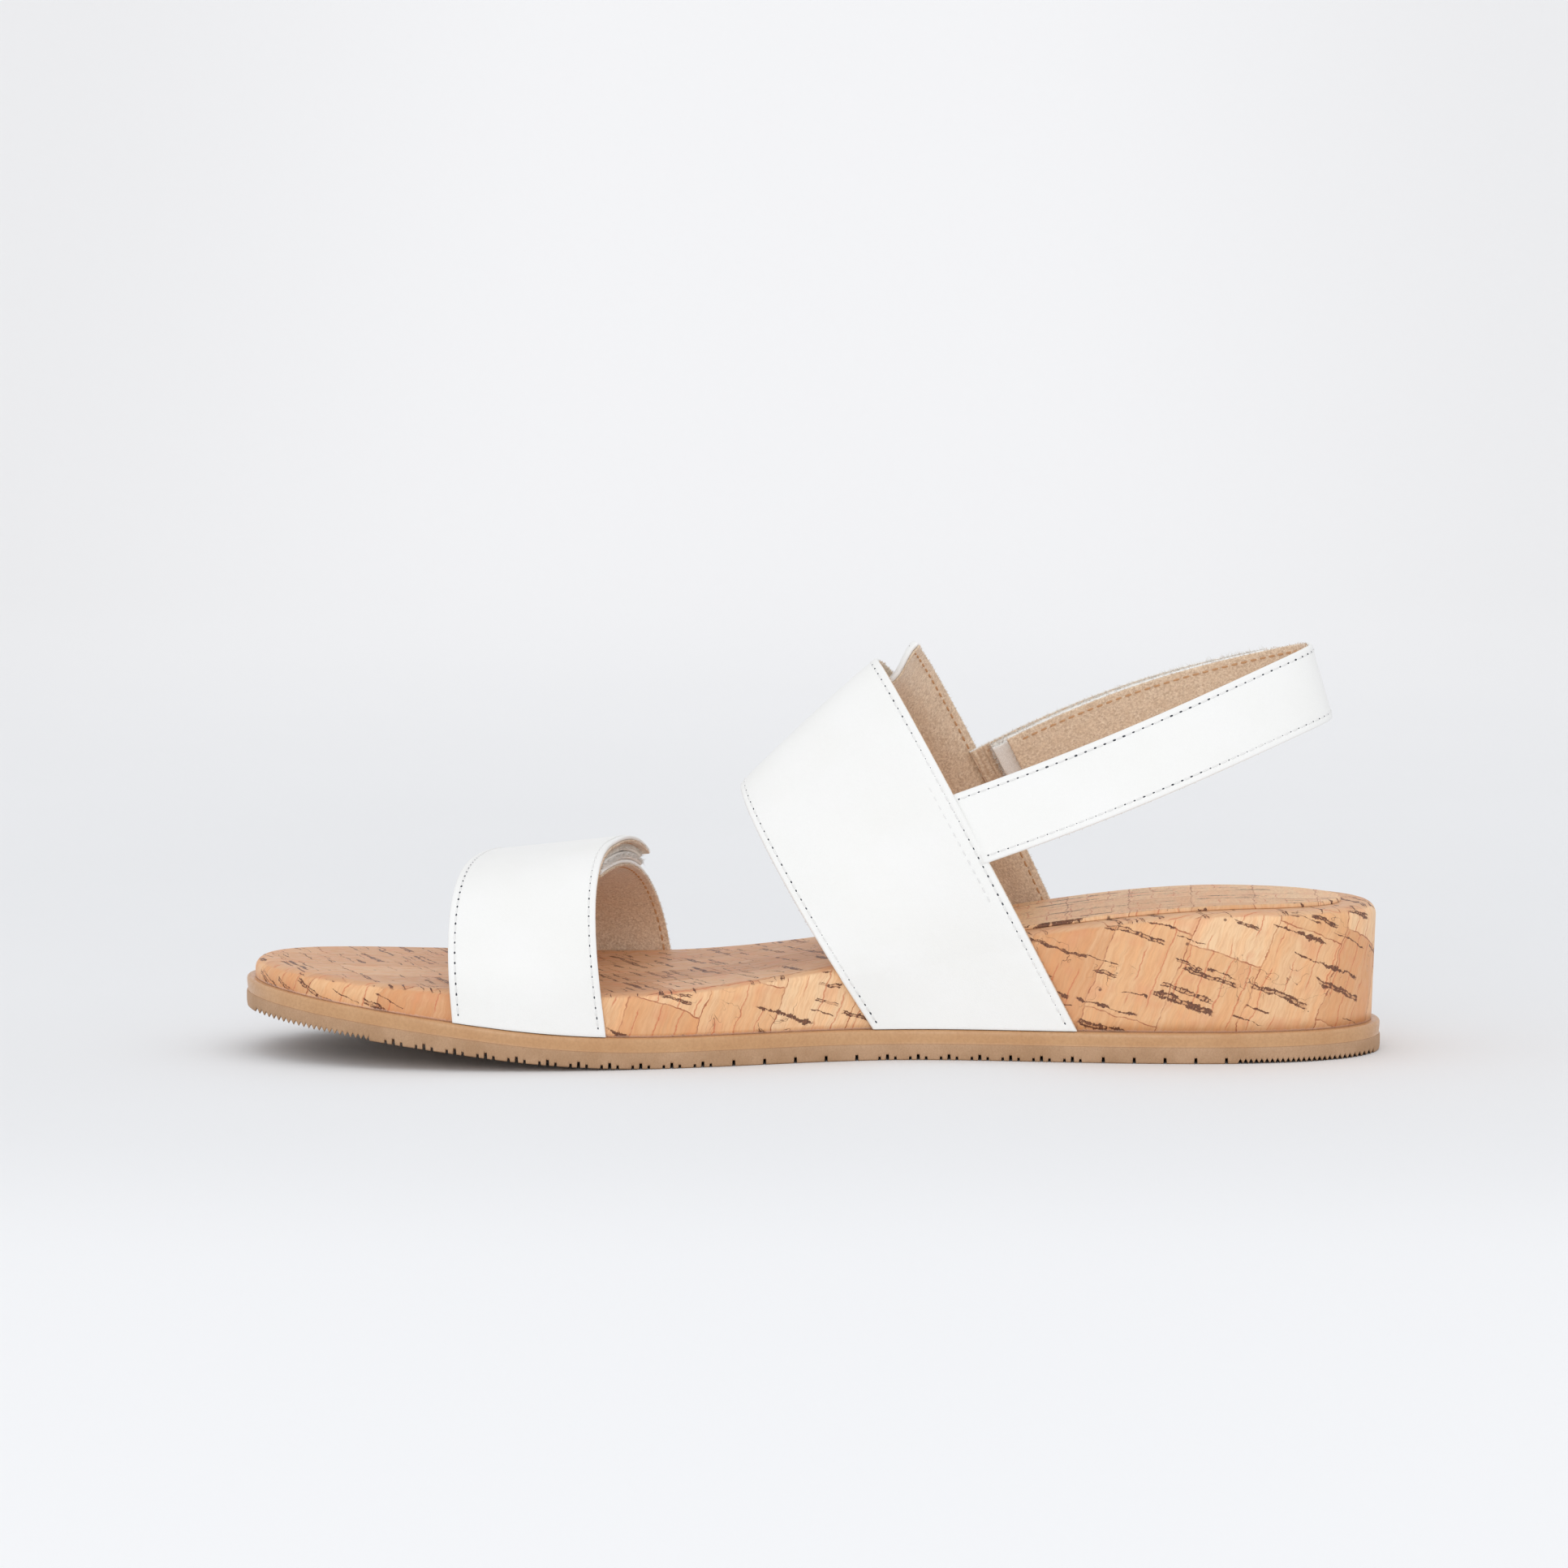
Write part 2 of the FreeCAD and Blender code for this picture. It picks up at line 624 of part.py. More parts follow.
def make_closing_strap(name, surface, fold, free_end, underlay_end, taped, tape_across, drift, curl=0.0):
    """Overlay with its fixed part and its flap, the underlay, and the tape on each.

    fold, free_end, underlay_end and taped are places along the strap.
    """
    lining, leather = stack(0.0, size["lining_gauge"], size["leather_gauge"])
    hook = (-size["glue_gap"] - size["tape_gauge"], -size["glue_gap"])
    loop = (hook[0] - size["tape_gap"] - size["tape_gauge"], hook[0] - size["tape_gap"])
    under_leather = (loop[0] - size["glue_gap"] - size["leather_gauge"], loop[0] - size["glue_gap"])
    under_lining = (
        under_leather[0] - size["glue_gap"] - size["lining_gauge"],
        under_leather[0] - size["glue_gap"],
    )
    fixed = (0.0, fold - size["fold_gap"] / ARCH_HALF_LENGTH)
    flap = (fold, free_end)
    underlay = (underlay_end, 4.0)
    stuck_out = (LONG_CURLED_GRID, drift, curl)
    return [
        layer(f"{name}_strap_leather", surface, fixed, FULL_WIDTH, leather, LONG_GRID),
        layer(f"{name}_flap_leather", surface, flap, FULL_WIDTH, leather, SHORT_GRID),
        layer(f"{name}_strap_lining", surface, fixed, FULL_WIDTH, lining, LONG_GRID),
        layer(f"{name}_flap_lining", surface, flap, FULL_WIDTH, lining, SHORT_GRID),
        layer(f"{name}_hook_tape", surface, taped, tape_across, hook, SHORT_GRID),
        layer(f"{name}_loop_tape", surface, taped, tape_across, loop, SHORT_GRID),
        layer(f"{name}_underlay_leather", surface, underlay, FULL_WIDTH, under_leather, *stuck_out),
        layer(f"{name}_underlay_lining", surface, underlay, FULL_WIDTH, under_lining, *stuck_out),
    ]


def make_heel_strap(surface, sling_end, tab_end, taped, tape_across, drift):
    """Heel strap, and the tab from the lateral side that closes over its end.

    drift is how far the tab's free end sits above the strap, in strap widths.
    """
    lining, leather, loop = stack(0.0, size["lining_gauge"], size["leather_gauge"], size["tape_gauge"])
    hook_start = loop[1] + size["tape_gap"]
    hook, tab_lining, tab_leather = stack(
        hook_start, size["tape_gauge"], size["lining_gauge"], size["leather_gauge"]
    )
    sling = (0.0, sling_end)
    tab = (tab_end, 1.0)
    return [
        layer("sling_leather", surface, sling, FULL_WIDTH, leather, SLING_GRID),
        layer("sling_lining", surface, sling, FULL_WIDTH, lining, SLING_GRID),
        layer("sling_loop_tape", surface, taped, tape_across, loop, SLING_TAPE_GRID),
        layer("sling_hook_tape", surface, taped, tape_across, hook, SLING_TAPE_GRID),
        layer("sling_tab_leather", surface, tab, FULL_WIDTH, tab_leather, SLING_TAB_GRID, drift),
        layer("sling_tab_lining", surface, tab, FULL_WIDTH, tab_lining, SLING_TAB_GRID, drift),
    ]


# ---------------------------------------------------------------- assembly

vamp_surface = Strap(
    middle=-size["vamp_place"],
    width=size["vamp_width"],
    skew=size["vamp_skew"],
    leans=(0.08, 0.12),
    shifts=(6.5, 6.5),
    tops=(size["vamp_top_front"], size["vamp_top_back"]),
    apex_y=-6.0,
    power=2.5,
)
instep_surface = Strap(
    middle=size["instep_place"],
    width=size["instep_width"],
    skew=size["instep_skew"],
    leans=(0.64, 0.52),
    shifts=(4.8, -2.0),
    tops=(size["instep_top_front"], size["instep_top_back"]),
    apex_y=0.0,
    power=1.85,
)
sling_surface = Sling(medial_y=-23.8, lateral_y=20.8, roll=0.3, bulges=(-1.0, 3.0))

parts = [make_outsole(), *make_shank_and_wedge(), *make_insole(), make_cork_wrap(), make_heel_sock()]
parts += make_closing_strap(
    "vamp",
    vamp_surface,
    fold=1.82,
    free_end=2.42,
    underlay_end=1.86,
    taped=(1.90, 2.37),
    tape_across=(-0.42, 0.46),
    drift=-0.06,
)
parts += make_closing_strap(
    "instep",
    instep_surface,
    fold=1.88,
    free_end=2.5,
    underlay_end=1.92,
    taped=(1.96, 2.45),
    tape_across=(-0.42, 0.42),
    drift=0.21,
    curl=3.0,
)
parts += make_heel_strap(
    sling_surface, sling_end=0.988, tab_end=0.67, taped=(0.69, 0.996), tape_across=(-0.44, 0.44), drift=-0.03
)


def check(part):
    """Stops the build if a part is failed, empty or not a valid solid."""
    if any(word in part.State for word in ("Invalid", "Error")):
        raise RuntimeError(f"{part.Label} is {part.State}")
    if part.Shape.isNull() or not part.Shape.isValid() or not part.Shape.Solids:
        raise RuntimeError(f"{part.Label} has no valid solid")
    if part.Shape.Volume <= 0:
        raise RuntimeError(f"{part.Label} has no volume")


doc.recompute()
os.makedirs("parts", exist_ok=True)
for part in doc.Objects:
    if any(word in part.State for word in ("Invalid", "Error")):
        raise RuntimeError(f"{part.Label} is {part.State}")
for part in parts:
    check(part)
for part in parts:
    part.Shape.exportStep(f"parts/{part.Label}.step")
    box = part.Shape.BoundBox
    print(f"{part.Label:24s} {part.Shape.Volume:10.0f} mm3  z {box.ZMin:.1f} to {box.ZMax:.1f}")
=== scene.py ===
"""Looks of the wedge sandal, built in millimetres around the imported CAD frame.

+X runs from toe to heel, +Y to the lateral side, +Z up. The shape formulas repeat the part's own.
"""

import math

import bpy
import numpy as np
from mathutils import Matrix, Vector


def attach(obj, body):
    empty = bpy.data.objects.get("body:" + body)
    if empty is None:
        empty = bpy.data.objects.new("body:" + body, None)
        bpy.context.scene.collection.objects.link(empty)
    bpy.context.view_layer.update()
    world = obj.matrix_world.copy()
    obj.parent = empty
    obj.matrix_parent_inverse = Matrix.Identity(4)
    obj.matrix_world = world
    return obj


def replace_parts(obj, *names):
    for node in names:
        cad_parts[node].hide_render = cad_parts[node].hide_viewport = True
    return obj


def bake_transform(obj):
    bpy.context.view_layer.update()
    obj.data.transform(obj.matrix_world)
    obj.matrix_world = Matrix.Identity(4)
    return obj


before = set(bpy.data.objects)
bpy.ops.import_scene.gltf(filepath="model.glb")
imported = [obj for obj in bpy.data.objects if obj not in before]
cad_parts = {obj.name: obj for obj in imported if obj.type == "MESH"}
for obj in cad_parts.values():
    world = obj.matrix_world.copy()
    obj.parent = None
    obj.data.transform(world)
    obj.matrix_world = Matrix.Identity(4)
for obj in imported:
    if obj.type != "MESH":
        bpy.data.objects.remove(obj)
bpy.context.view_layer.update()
MM = 0.001
MEDIAL, LATERAL = -1, 1
rng = np.random.default_rng(11)


# ---------------------------------------------------------------- shape of the sole

HALF = 127.5
RAW_POLES = np.array(
    [
        (131, -1), (122, -25), (95, -35), (55, -31), (16, -22.5), (-18, -37), (-55, -47), (-90, -45.5),
        (-118, -34), (-133, -9), (-125, 21), (-98, 40), (-58, 47.5), (-12, 46), (35, 36), (80, 33.5),
        (118, 26),
    ],
    float,
)


OUTSOLE_GAUGE = 6.8
CORK_EDGE = 2.9  # radius of the cork's top edge
TREAD_GAUGE = 3.3  # part of the wall that the tread is cut into
LINING, OUTER = (0.0, 0.6), (0.65, 1.65)  # offsets of the two layers from a strap's inner surface
SEAM, PITCH = 1.5, 2.3  # a seam's distance from its edge, and its stitch length
COLUMN_STEP = 1.6  # spacing of a sheet's mesh across its width


def unit_vectors(v):
    return v / np.linalg.norm(v, axis=-1, keepdims=True)


def smooth(t):
    t = np.clip(t, 0, 1)
    return t * t * (3 - 2 * t)


def ground(x):
    past = np.maximum(0, -x - 30)
    curved = np.minimum(past, 40)
    return 0.13 * (curved**2 / 80 + past - curved)


def outsole_top(x):
    return ground(x) + OUTSOLE_GAUGE


def footbed(x):
    toe = np.maximum(0, -x - 41) / (HALF - 41)
    return 16.7 + 16.7 * smooth((x + 41) / 139) + 4.8 * toe**2


def spline(poles, u):
    """Points and unit tangents of the closed uniform cubic B-spline."""
    u = np.asarray(u, float)
    whole = np.floor(u).astype(int)
    t = (u - whole)[..., None]
    a, b, c, d = (poles[(whole + j) % len(poles)] for j in (-1, 0, 1, 2))
    point = ((1 - t) ** 3 * a + (3 * t**3 - 6 * t**2 + 4) * b) / 6
    point += ((-3 * t**3 + 3 * t**2 + 3 * t + 1) * c + t**3 * d) / 6
    tangent = -((1 - t) ** 2) * a + (3 * t**2 - 4 * t) * b + (-3 * t**2 + 2 * t + 1) * c + t**2 * d
    return point, unit_vectors(tangent)


def fitted():
    points, _ = spline(RAW_POLES, np.linspace(0, len(RAW_POLES), 2001))
    low, high = points.min(0), points.max(0)
    return (RAW_POLES - (low + high) / 2) * np.array([2 * HALF, 92.0]) / (high - low)


POLES = fitted()


def inset_outline(u, inset):
    point, tangent = spline(POLES, u)
    return point + inset * np.stack([tangent[..., 1], -tangent[..., 0]], -1)


class Rails:
    """The outline at one inset, looked up by X on the medial and the lateral side."""

    made = {}

    def __init__(self, inset):
        u = np.linspace(0, len(POLES), 20001)
        x = inset_outline(u, inset)[:, 0]
        heel, toe = u[np.argmax(x)], u[np.argmin(x)]
        ends = {MEDIAL: (heel, toe + len(POLES) * (toe < heel))}
        ends[LATERAL] = (ends[MEDIAL][1], heel + len(POLES))
        self.inset = inset
        self.tables = {}
        for side, (first, last) in ends.items():
            us = np.linspace(first, last, 16001)
            xs = inset_outline(us, inset)[:, 0]
            order = np.argsort(xs)
            self.tables[side] = (xs[order], us[order])

    def at(self, x, side):
        xs, us = self.tables[side]
        return inset_outline(np.interp(x, xs, us), self.inset)


def rails(inset):
    if inset not in Rails.made:
        Rails.made[inset] = Rails(inset)
    return Rails.made[inset]


def wall_y(x, side, inset):
    return rails(inset).at(x, side)[..., 1]


# ---------------------------------------------------------------- straps' inner surfaces


class Strap:
    """across -0.5 leading to 0.5 trailing; along 0 to 4, from the medial foot over to the lateral foot."""

    first, last = 0.0, 4.0
    flip = 1.0

    def __init__(self, middle, width, skew, leans, shifts, tops, apex_y, power):
        self.middle, self.width, self.skew = middle, width, skew
        self.leans, self.shifts, self.tops = leans, shifts, tops
        self.apex_y, self.power = apex_y, power

    def point(self, across, along):
        across, along = np.broadcast_arrays(np.asarray(across, float), np.asarray(along, float))
        lateral = along > 2
        up = np.where(lateral, 4 - along, along)
        climb, arch = np.clip(up, 0, 1), np.clip(up - 1, 0, 1)
        share = across + 0.5
        lean = self.leans[0] + (self.leans[1] - self.leans[0]) * share
        foot_x = self.middle + across * self.width + self.skew * lateral
        foot_z = outsole_top(foot_x) + 0.1
        ridge_z = foot_z
        for _ in range(6):
            ridge_z = footbed(foot_x - lean * (ridge_z - foot_z)) - CORK_EDGE
        z = foot_z + (ridge_z - foot_z) * climb
        x = foot_x - lean * (z - foot_z)
        y = np.where(lateral, wall_y(x, LATERAL, -3.35), wall_y(x, MEDIAL, 1.9))
        top = self.tops[0] + (self.tops[1] - self.tops[0]) * share
        shift = self.shifts[0] + (self.shifts[1] - self.shifts[0]) * share - self.skew * lateral
        angle = arch * math.pi / 2
        arch_y = self.apex_y + (y - self.apex_y) * np.cos(angle) ** (2 / self.power)
        arch_z = z + (top - z) * np.sin(angle) ** (2 / self.power)
        crossing = 1 - (arch_y - self.apex_y) / (y - self.apex_y)
        arch_x = x - lean * (arch_z - z) + shift * crossing
        on_arch = (arch > 0)[..., None]
        return np.where(on_arch, np.stack([arch_x, arch_y, arch_z], -1), np.stack([x, y, z], -1))


class Sling:
    """across -0.5 lower to 0.5 upper; along 0 at the medial root to 1 at the lateral root.

    Past both roots it runs straight on and inwards, to tuck under the instep straps.
    """

    first, last = -0.03, 1.03
    flip = -1.0
    width = 17.3
    medial_run, lateral_run = np.array([94.4, -30.0, 33.1]), np.array([-88.5, -10.0, -46.5])

    def point(self, across, along):
        across, along = np.broadcast_arrays(np.asarray(across, float), np.asarray(along, float))
        angle = np.clip(along, 0, 1) * math.pi
        back = np.abs(np.sin(angle)) ** (2 / 2.7)
        side = np.sign(np.cos(angle)) * np.abs(np.cos(angle)) ** (2 / 2.7)
        share = (1 - np.cos(angle)) / 2
        root_x, root_z = 35.6 + 6.0 * share, 51.5 + 5.5 * share
        x = root_x + (112.5 - root_x) * back
        z = root_z + (82.4 - root_z) * back + 4 * (-1.0 + 4.0 * share) * back * (1 - back)
        tilt = np.radians(28 - 12 * back)
        up = np.stack([-np.sin(tilt), 0.3 * side, np.cos(tilt)], -1)
        before, after = np.minimum(0, along)[..., None], np.maximum(0, along - 1)[..., None]
        tucked = before * self.medial_run + after * self.lateral_run
        line = np.stack([x, -1.5 - 22.3 * side, z], -1)
        return line + unit_vectors(up) * (across * self.width)[..., None] + tucked


def frame_at(surface, across, along):
    """Point, outward normal, unit lengthwise vector and crosswise vector per unit of across."""
    step = 1e-3
    across, along = np.broadcast_arrays(np.asarray(across, float), np.asarray(along, float))
    low, high = np.maximum(surface.first, along - step), np.minimum(surface.last, along + step)
    long = surface.point(across, high) - surface.point(across, low)
    cross = (surface.point(across + step, along) - surface.point(across - step, along)) / (2 * step)
    normal = np.cross(cross, long) * surface.flip
    scale = 1 / np.linalg.norm(normal, axis=-1, keepdims=True)
    return surface.point(across, along), normal * scale, unit_vectors(long), cross


VAMP = Strap(-62.6, 33.3, 15.2, (0.08, 0.12), (6.5, 6.5), (42.4, 45.6), -6.0, 2.5)
INSTEP = Strap(35.6, 45.5, 3.4, (0.64, 0.52), (4.8, -2.0), (58.2, 86.4), 0.0, 1.85)
SLING = Sling()


# ---------------------------------------------------------------- mesh helpers


class Mesh:
    """Vertices in millimetres, faces with a material index, and a coordinate for the textures."""

    def __init__(self):
        self.points, self.coords, self.faces, self.slots, self.count = [], [], [], [], 0

    def add(self, points, faces, slot, coords=None):
        points = np.asarray(points, float).reshape(-1, 3)
        faces = np.asarray(faces, int)
        self.points.append(points)
        self.coords.append(points if coords is None else np.asarray(coords, float).reshape(-1, 3))
        self.faces.extend((faces + self.count).tolist())
        self.slots.extend([slot] * len(faces))
        self.count += len(points)

    def build(self, name, materials, merge=0.0, extra=None):
        mesh = bpy.data.meshes.new(name)
        points = np.concatenate(self.points)
        faces = [[v for k, v in enumerate(f) if v not in f[:k]] for f in self.faces]
        mesh.from_pydata((points * MM).tolist(), [], faces)
        mesh.polygons.foreach_set("material_index", self.slots)
        mesh.polygons.foreach_set("use_smooth", [True] * len(faces))
        values = {"sheet": np.concatenate(self.coords), **(extra or {})}
        for key, value in values.items():
            kind, field = ("FLOAT_VECTOR", "vector") if value.ndim == 2 else ("FLOAT", "value")
            attribute = mesh.attributes.new(key, kind, "POINT")
            attribute.data.foreach_set(field, value.astype(np.float32).ravel())
        for material in materials:
            mesh.materials.append(material)
        made = bpy.data.objects.new(name, mesh)
        bpy.context.scene.collection.objects.link(made)
        if merge:
            tidy_mesh(mesh, merge)
        return made


def tidy_mesh(mesh, distance):
    """Joins vertices that meet, drops faces that this leaves without area, and turns all faces outwards."""
    import bmesh

    work = bmesh.new()
    work.from_mesh(mesh)
    bmesh.ops.remove_doubles(work, verts=work.verts, dist=distance * MM)
    bmesh.ops.dissolve_degenerate(work, edges=work.edges, dist=1e-7)
    bmesh.ops.recalc_face_normals(work, faces=work.faces)
    work.to_mesh(mesh)
    work.free()


def grid_faces(rows, columns, close=False):
    """Quads of a grid of points, row by row. close joins the last column to the first."""
    across = columns if close else columns - 1
    i, j = np.meshgrid(np.arange(rows - 1), np.arange(across), indexing="ij")
    k = (j + 1) % columns
    here, beside = i * columns + j, i * columns + k
    return np.stack([here, beside, beside + columns, here + columns], -1).reshape(-1, 4)


def edge_steps(radius):
    return radius * np.array([0.0, 0.03, 0.13, 0.3, 0.55, 1.0])


def round_off(distance, radius):
    """Share of half the gauge at this distance from a rounded edge."""
    return np.sqrt(np.clip(1 - (1 - np.clip(distance / radius, 0, 1)) ** 2, 0, 1))


def marks(length, step, radii, lines=()):
    """Positions from one end to the other: close together at rounded ends and about the given lines."""
    middle = np.linspace(radii[0], length - radii[1], max(3, int((length - sum(radii)) / step) + 1))
    found = [edge_steps(radii[0]), middle, length - edge_steps(radii[1])]
    found += [np.clip(line + np.array([-0.6, -0.35, -0.15, 0, 0.15, 0.35, 0.6]), 0, length) for line in lines]
    found = np.unique(np.round(np.concatenate(found), 4))
    keep = np.concatenate([[True], np.diff(found) > 0.012])
    keep[-1] = True
    return found[keep]


class Sheet:
    """A sheet of a strap: where its stations and columns lie, and how far it is offset outwards."""

    def __init__(
        self, surface, span, across, offset,
        step=0.9, radii=(0.45, 0.45, 0.45), lines=(), drift=0.0, curl=0.0,
    ):
        """radii round off the first end, the last end and the two long edges.

        lines are distances from both edges where the mesh is finer.
        """
        self.surface, self.span, self.across, self.offset = surface, span, across, offset
        self.radii, self.drift, self.curl = radii, drift, curl
        fine = np.linspace(*span, 400)
        middle = (across[0] + across[1]) / 2
        path = surface.point(middle, fine)
        lengths = np.concatenate([[0], np.cumsum(np.linalg.norm(np.diff(path, axis=0), axis=1))])
        self.length = lengths[-1]
        self.s = marks(self.length, step, radii[:2])
        self.along = np.interp(self.s, lengths, fine)
        _, _, long, cross = frame_at(surface, middle, self.along)
        self.width = np.linalg.norm(np.cross(cross, long), axis=-1) * (across[1] - across[0])
        nominal = float(np.mean(self.width))
        both = [*lines, *(nominal - d for d in lines)]
        self.columns = marks(nominal, COLUMN_STEP, (radii[2], radii[2]), both)
        self.nominal = nominal

    def acrosses(self, rows=slice(None)):
        """across value of each column at each station: fixed distances near the edges, shares between."""
        width = self.width[rows, None]
        near = np.minimum(self.columns, self.nominal - self.columns)
        left = self.columns <= self.nominal / 2
        band = 6.0 if self.nominal > 14 else self.nominal / 2.6
        inner = (self.columns - band) / (self.nominal - 2 * band) * (width - 2 * band) + band
        d = np.where(near < band, np.where(left, near, width - near), inner)
        return self.place(d / width, self.along[rows, None])

    def place(self, share, along):
        shift = self.drift * (along - self.span[1]) / (self.span[0] - self.span[1])
        return self.across[0] + (self.across[1] - self.across[0]) * share + shift

    def lift(self, across):
        return self.curl * smooth((across - 0.5) / 0.2)

    def line(self, distance, pitch, margin=(2.0, 2.0), rows=None, inside=False):
        """Points every pitch along a line at this distance from an edge, negative for the trailing edge."""
        share = distance / self.width if distance > 0 else 1 + distance / self.width
        across = self.place(share, self.along)
        path, normal, _, _ = frame_at(self.surface, across, self.along)
        path = path + normal * (self.offset[0 if inside else 1] + self.lift(across))[:, None]
        normal = -normal if inside else normal
        lengths = np.concatenate([[0], np.cumsum(np.linalg.norm(np.diff(path, axis=0), axis=1))])
        first, last = margin[0], lengths[-1] - margin[1]
        at = np.arange(first, last, pitch)
        if rows is not None:
            ends = np.interp(rows, self.along, lengths)
            at = at[(at > ends[0]) & (at < ends[1])]
        points = np.stack([np.interp(at, lengths, path[:, k]) for k in range(3)], -1)
        normals = np.stack([np.interp(at, lengths, normal[:, k]) for k in range(3)], -1)
        return points, unit_vectors(normals), lengths


def add_sheet(mesh, sheet, slot, seams=(), swell=0.0):
    """Adds the sheet with rounded edges. seams are signed distances from the edges with a sewn channel."""
    across = sheet.acrosses()
    along = np.broadcast_to(sheet.along[:, None], across.shape)
    base, normal, _, _ = frame_at(sheet.surface, across, along)
    d = (across - sheet.place(0.0, along)) / (sheet.across[1] - sheet.across[0]) * sheet.width[:, None]
    off = sheet.width[:, None] - d
    ends = round_off(sheet.s, sheet.radii[0]) * round_off(sheet.length - sheet.s, sheet.radii[1])
    h = round_off(d, sheet.radii[2]) * round_off(off, sheet.radii[2]) * ends[:, None]
    half, mid = (sheet.offset[1] - sheet.offset[0]) / 2, sum(sheet.offset) / 2
    relief = np.zeros_like(h)
    for seam in seams:
        _, _, lengths = sheet.line(seam, PITCH)
        away = (d if seam > 0 else off) - abs(seam)
        wave = 0.5 + 0.5 * np.cos((lengths - 2.0) / PITCH * 2 * math.pi)[:, None]
        relief -= np.exp(-((away / 0.42) ** 2)) * (0.04 + 0.06 * wave)
        relief -= 0.03 * np.clip(np.where(away < 0, -away / 1.2, 0), 0, 1)
    s = np.broadcast_to(sheet.s[:, None], d.shape)
    if swell:
        phase = rng.uniform(0, 6, 6)
        soft = np.sin(s / 9.1 + phase[0] + d / 13) + np.sin(s / 5.7 + phase[1] - d / 8) * 0.6
        soft = soft + np.sin(d / 6.1 + phase[2])
        relief += swell * soft * smooth(np.minimum(d, off) / 4) * smooth(np.minimum(s, sheet.length - s) / 6)
    lift = sheet.lift(across)
    outer = base + normal * (mid + lift + half * h + relief * (h > 0.5))[..., None]
    inner = base + normal * (mid + lift - half * h)[..., None]
    rows, columns = d.shape
    index = np.arange(rows * columns).reshape(rows, columns)
    border = np.zeros((rows, columns), bool)
    border[[0, -1], :] = border[:, [0, -1]] = True
    under = index.copy()
    under[~border] = rows * columns + np.arange((~border).sum())
    coords = np.stack([s, d, np.zeros_like(s)], -1)
    quads = grid_faces(rows, columns)
    flat = under.ravel()[quads][:, ::-1]
    if sheet.surface.flip < 0:
        quads, flat = quads[:, ::-1], flat[:, ::-1]
    points = np.concatenate([outer.reshape(-1, 3), inner[~border]])
    below = coords[~border] + np.array([0, 0, 3.0])
    start = mesh.count
    mesh.add(points, quads, slot, np.concatenate([coords.reshape(-1, 3), below]))
    mesh.faces.extend((flat + start).tolist())
    mesh.slots.extend([slot] * len(flat))


def circles(turn, first, second):
    """A ring of points at these angles about each row of two crossing directions."""
    return np.cos(turn)[:, None] * first[:, None] + np.sin(turn)[:, None] * second[:, None]


def add_stitches(mesh, points, normals, thread, hole, radius=0.19):
    """Thread between each hole and the next, sunk at both ends, and a dark disc at each: painted shade of the
    needle hole.
    """
    if len(points) < 2:
        return
    a, b = points[:-1], points[1:]
    run = b - a
    long = unit_vectors(run)
    up = unit_vectors(normals[:-1] + normals[1:])
    side = np.cross(long, up)
    t = np.array([0.1, 0.16, 0.28, 0.5, 0.72, 0.84, 0.9])
    height = np.array([-0.42, -0.2, -0.04, 0.02, -0.04, -0.2, -0.42])
    thick = np.array([0.55, 0.85, 1.0, 1.05, 1.0, 0.85, 0.55]) * radius
    turn = np.arange(6) / 6 * 2 * math.pi
    ring = circles(turn, side, up)[:, None]
    centre = a[:, None] + run[:, None] * t[None, :, None] + up[:, None] * height[None, :, None]
    tube = centre[:, :, None] + ring * thick[None, :, None, None]
    flat = np.stack(np.broadcast_arrays(t[:, None] * PITCH, turn * radius, 0.0), -1)
    coords = np.broadcast_to(flat, tube.shape)
    one = grid_faces(len(t), len(turn), close=True)
    size = len(t) * len(turn)
    faces = (one[None] + (np.arange(len(a)) * size)[:, None, None]).reshape(-1, 4)
    start = mesh.count
    mesh.add(tube, faces, thread, coords)
    caps = [list(range(5, -1, -1)), list(range(36, 42))]
    for k in range(len(a)):
        for cap in caps:
            mesh.faces.append([start + k * size + v for v in cap])
            mesh.slots.append(thread)
    # each needle hole is a dark lens just under the surface: painted shade standing for the hole
    long = np.concatenate([long, long[-1:]])
    side = np.cross(long, normals)
    turn = np.arange(8) / 8 * 2 * math.pi
    jitter = rng.uniform(0.8, 1.2, (len(points), 1, 1))
    rim = np.cos(turn)[None, :, None] * long[:, None] * 0.37 * jitter
    rim = rim + np.sin(turn)[None, :, None] * side[:, None] * 0.22 * jitter
    low = points - normals * 0.09
    above, below = low + normals * 0.035, low - normals * 0.2
    lens = np.concatenate([low[:, None] + rim, above[:, None], below[:, None]], 1)
    fan = np.array([[k, (k + 1) % 8, 8] for k in range(8)] + [[(k + 1) % 8, k, 9] for k in range(8)])
    mesh.add(lens, (fan[None] + (np.arange(len(points)) * 10)[:, None, None]).reshape(-1, 3), hole)


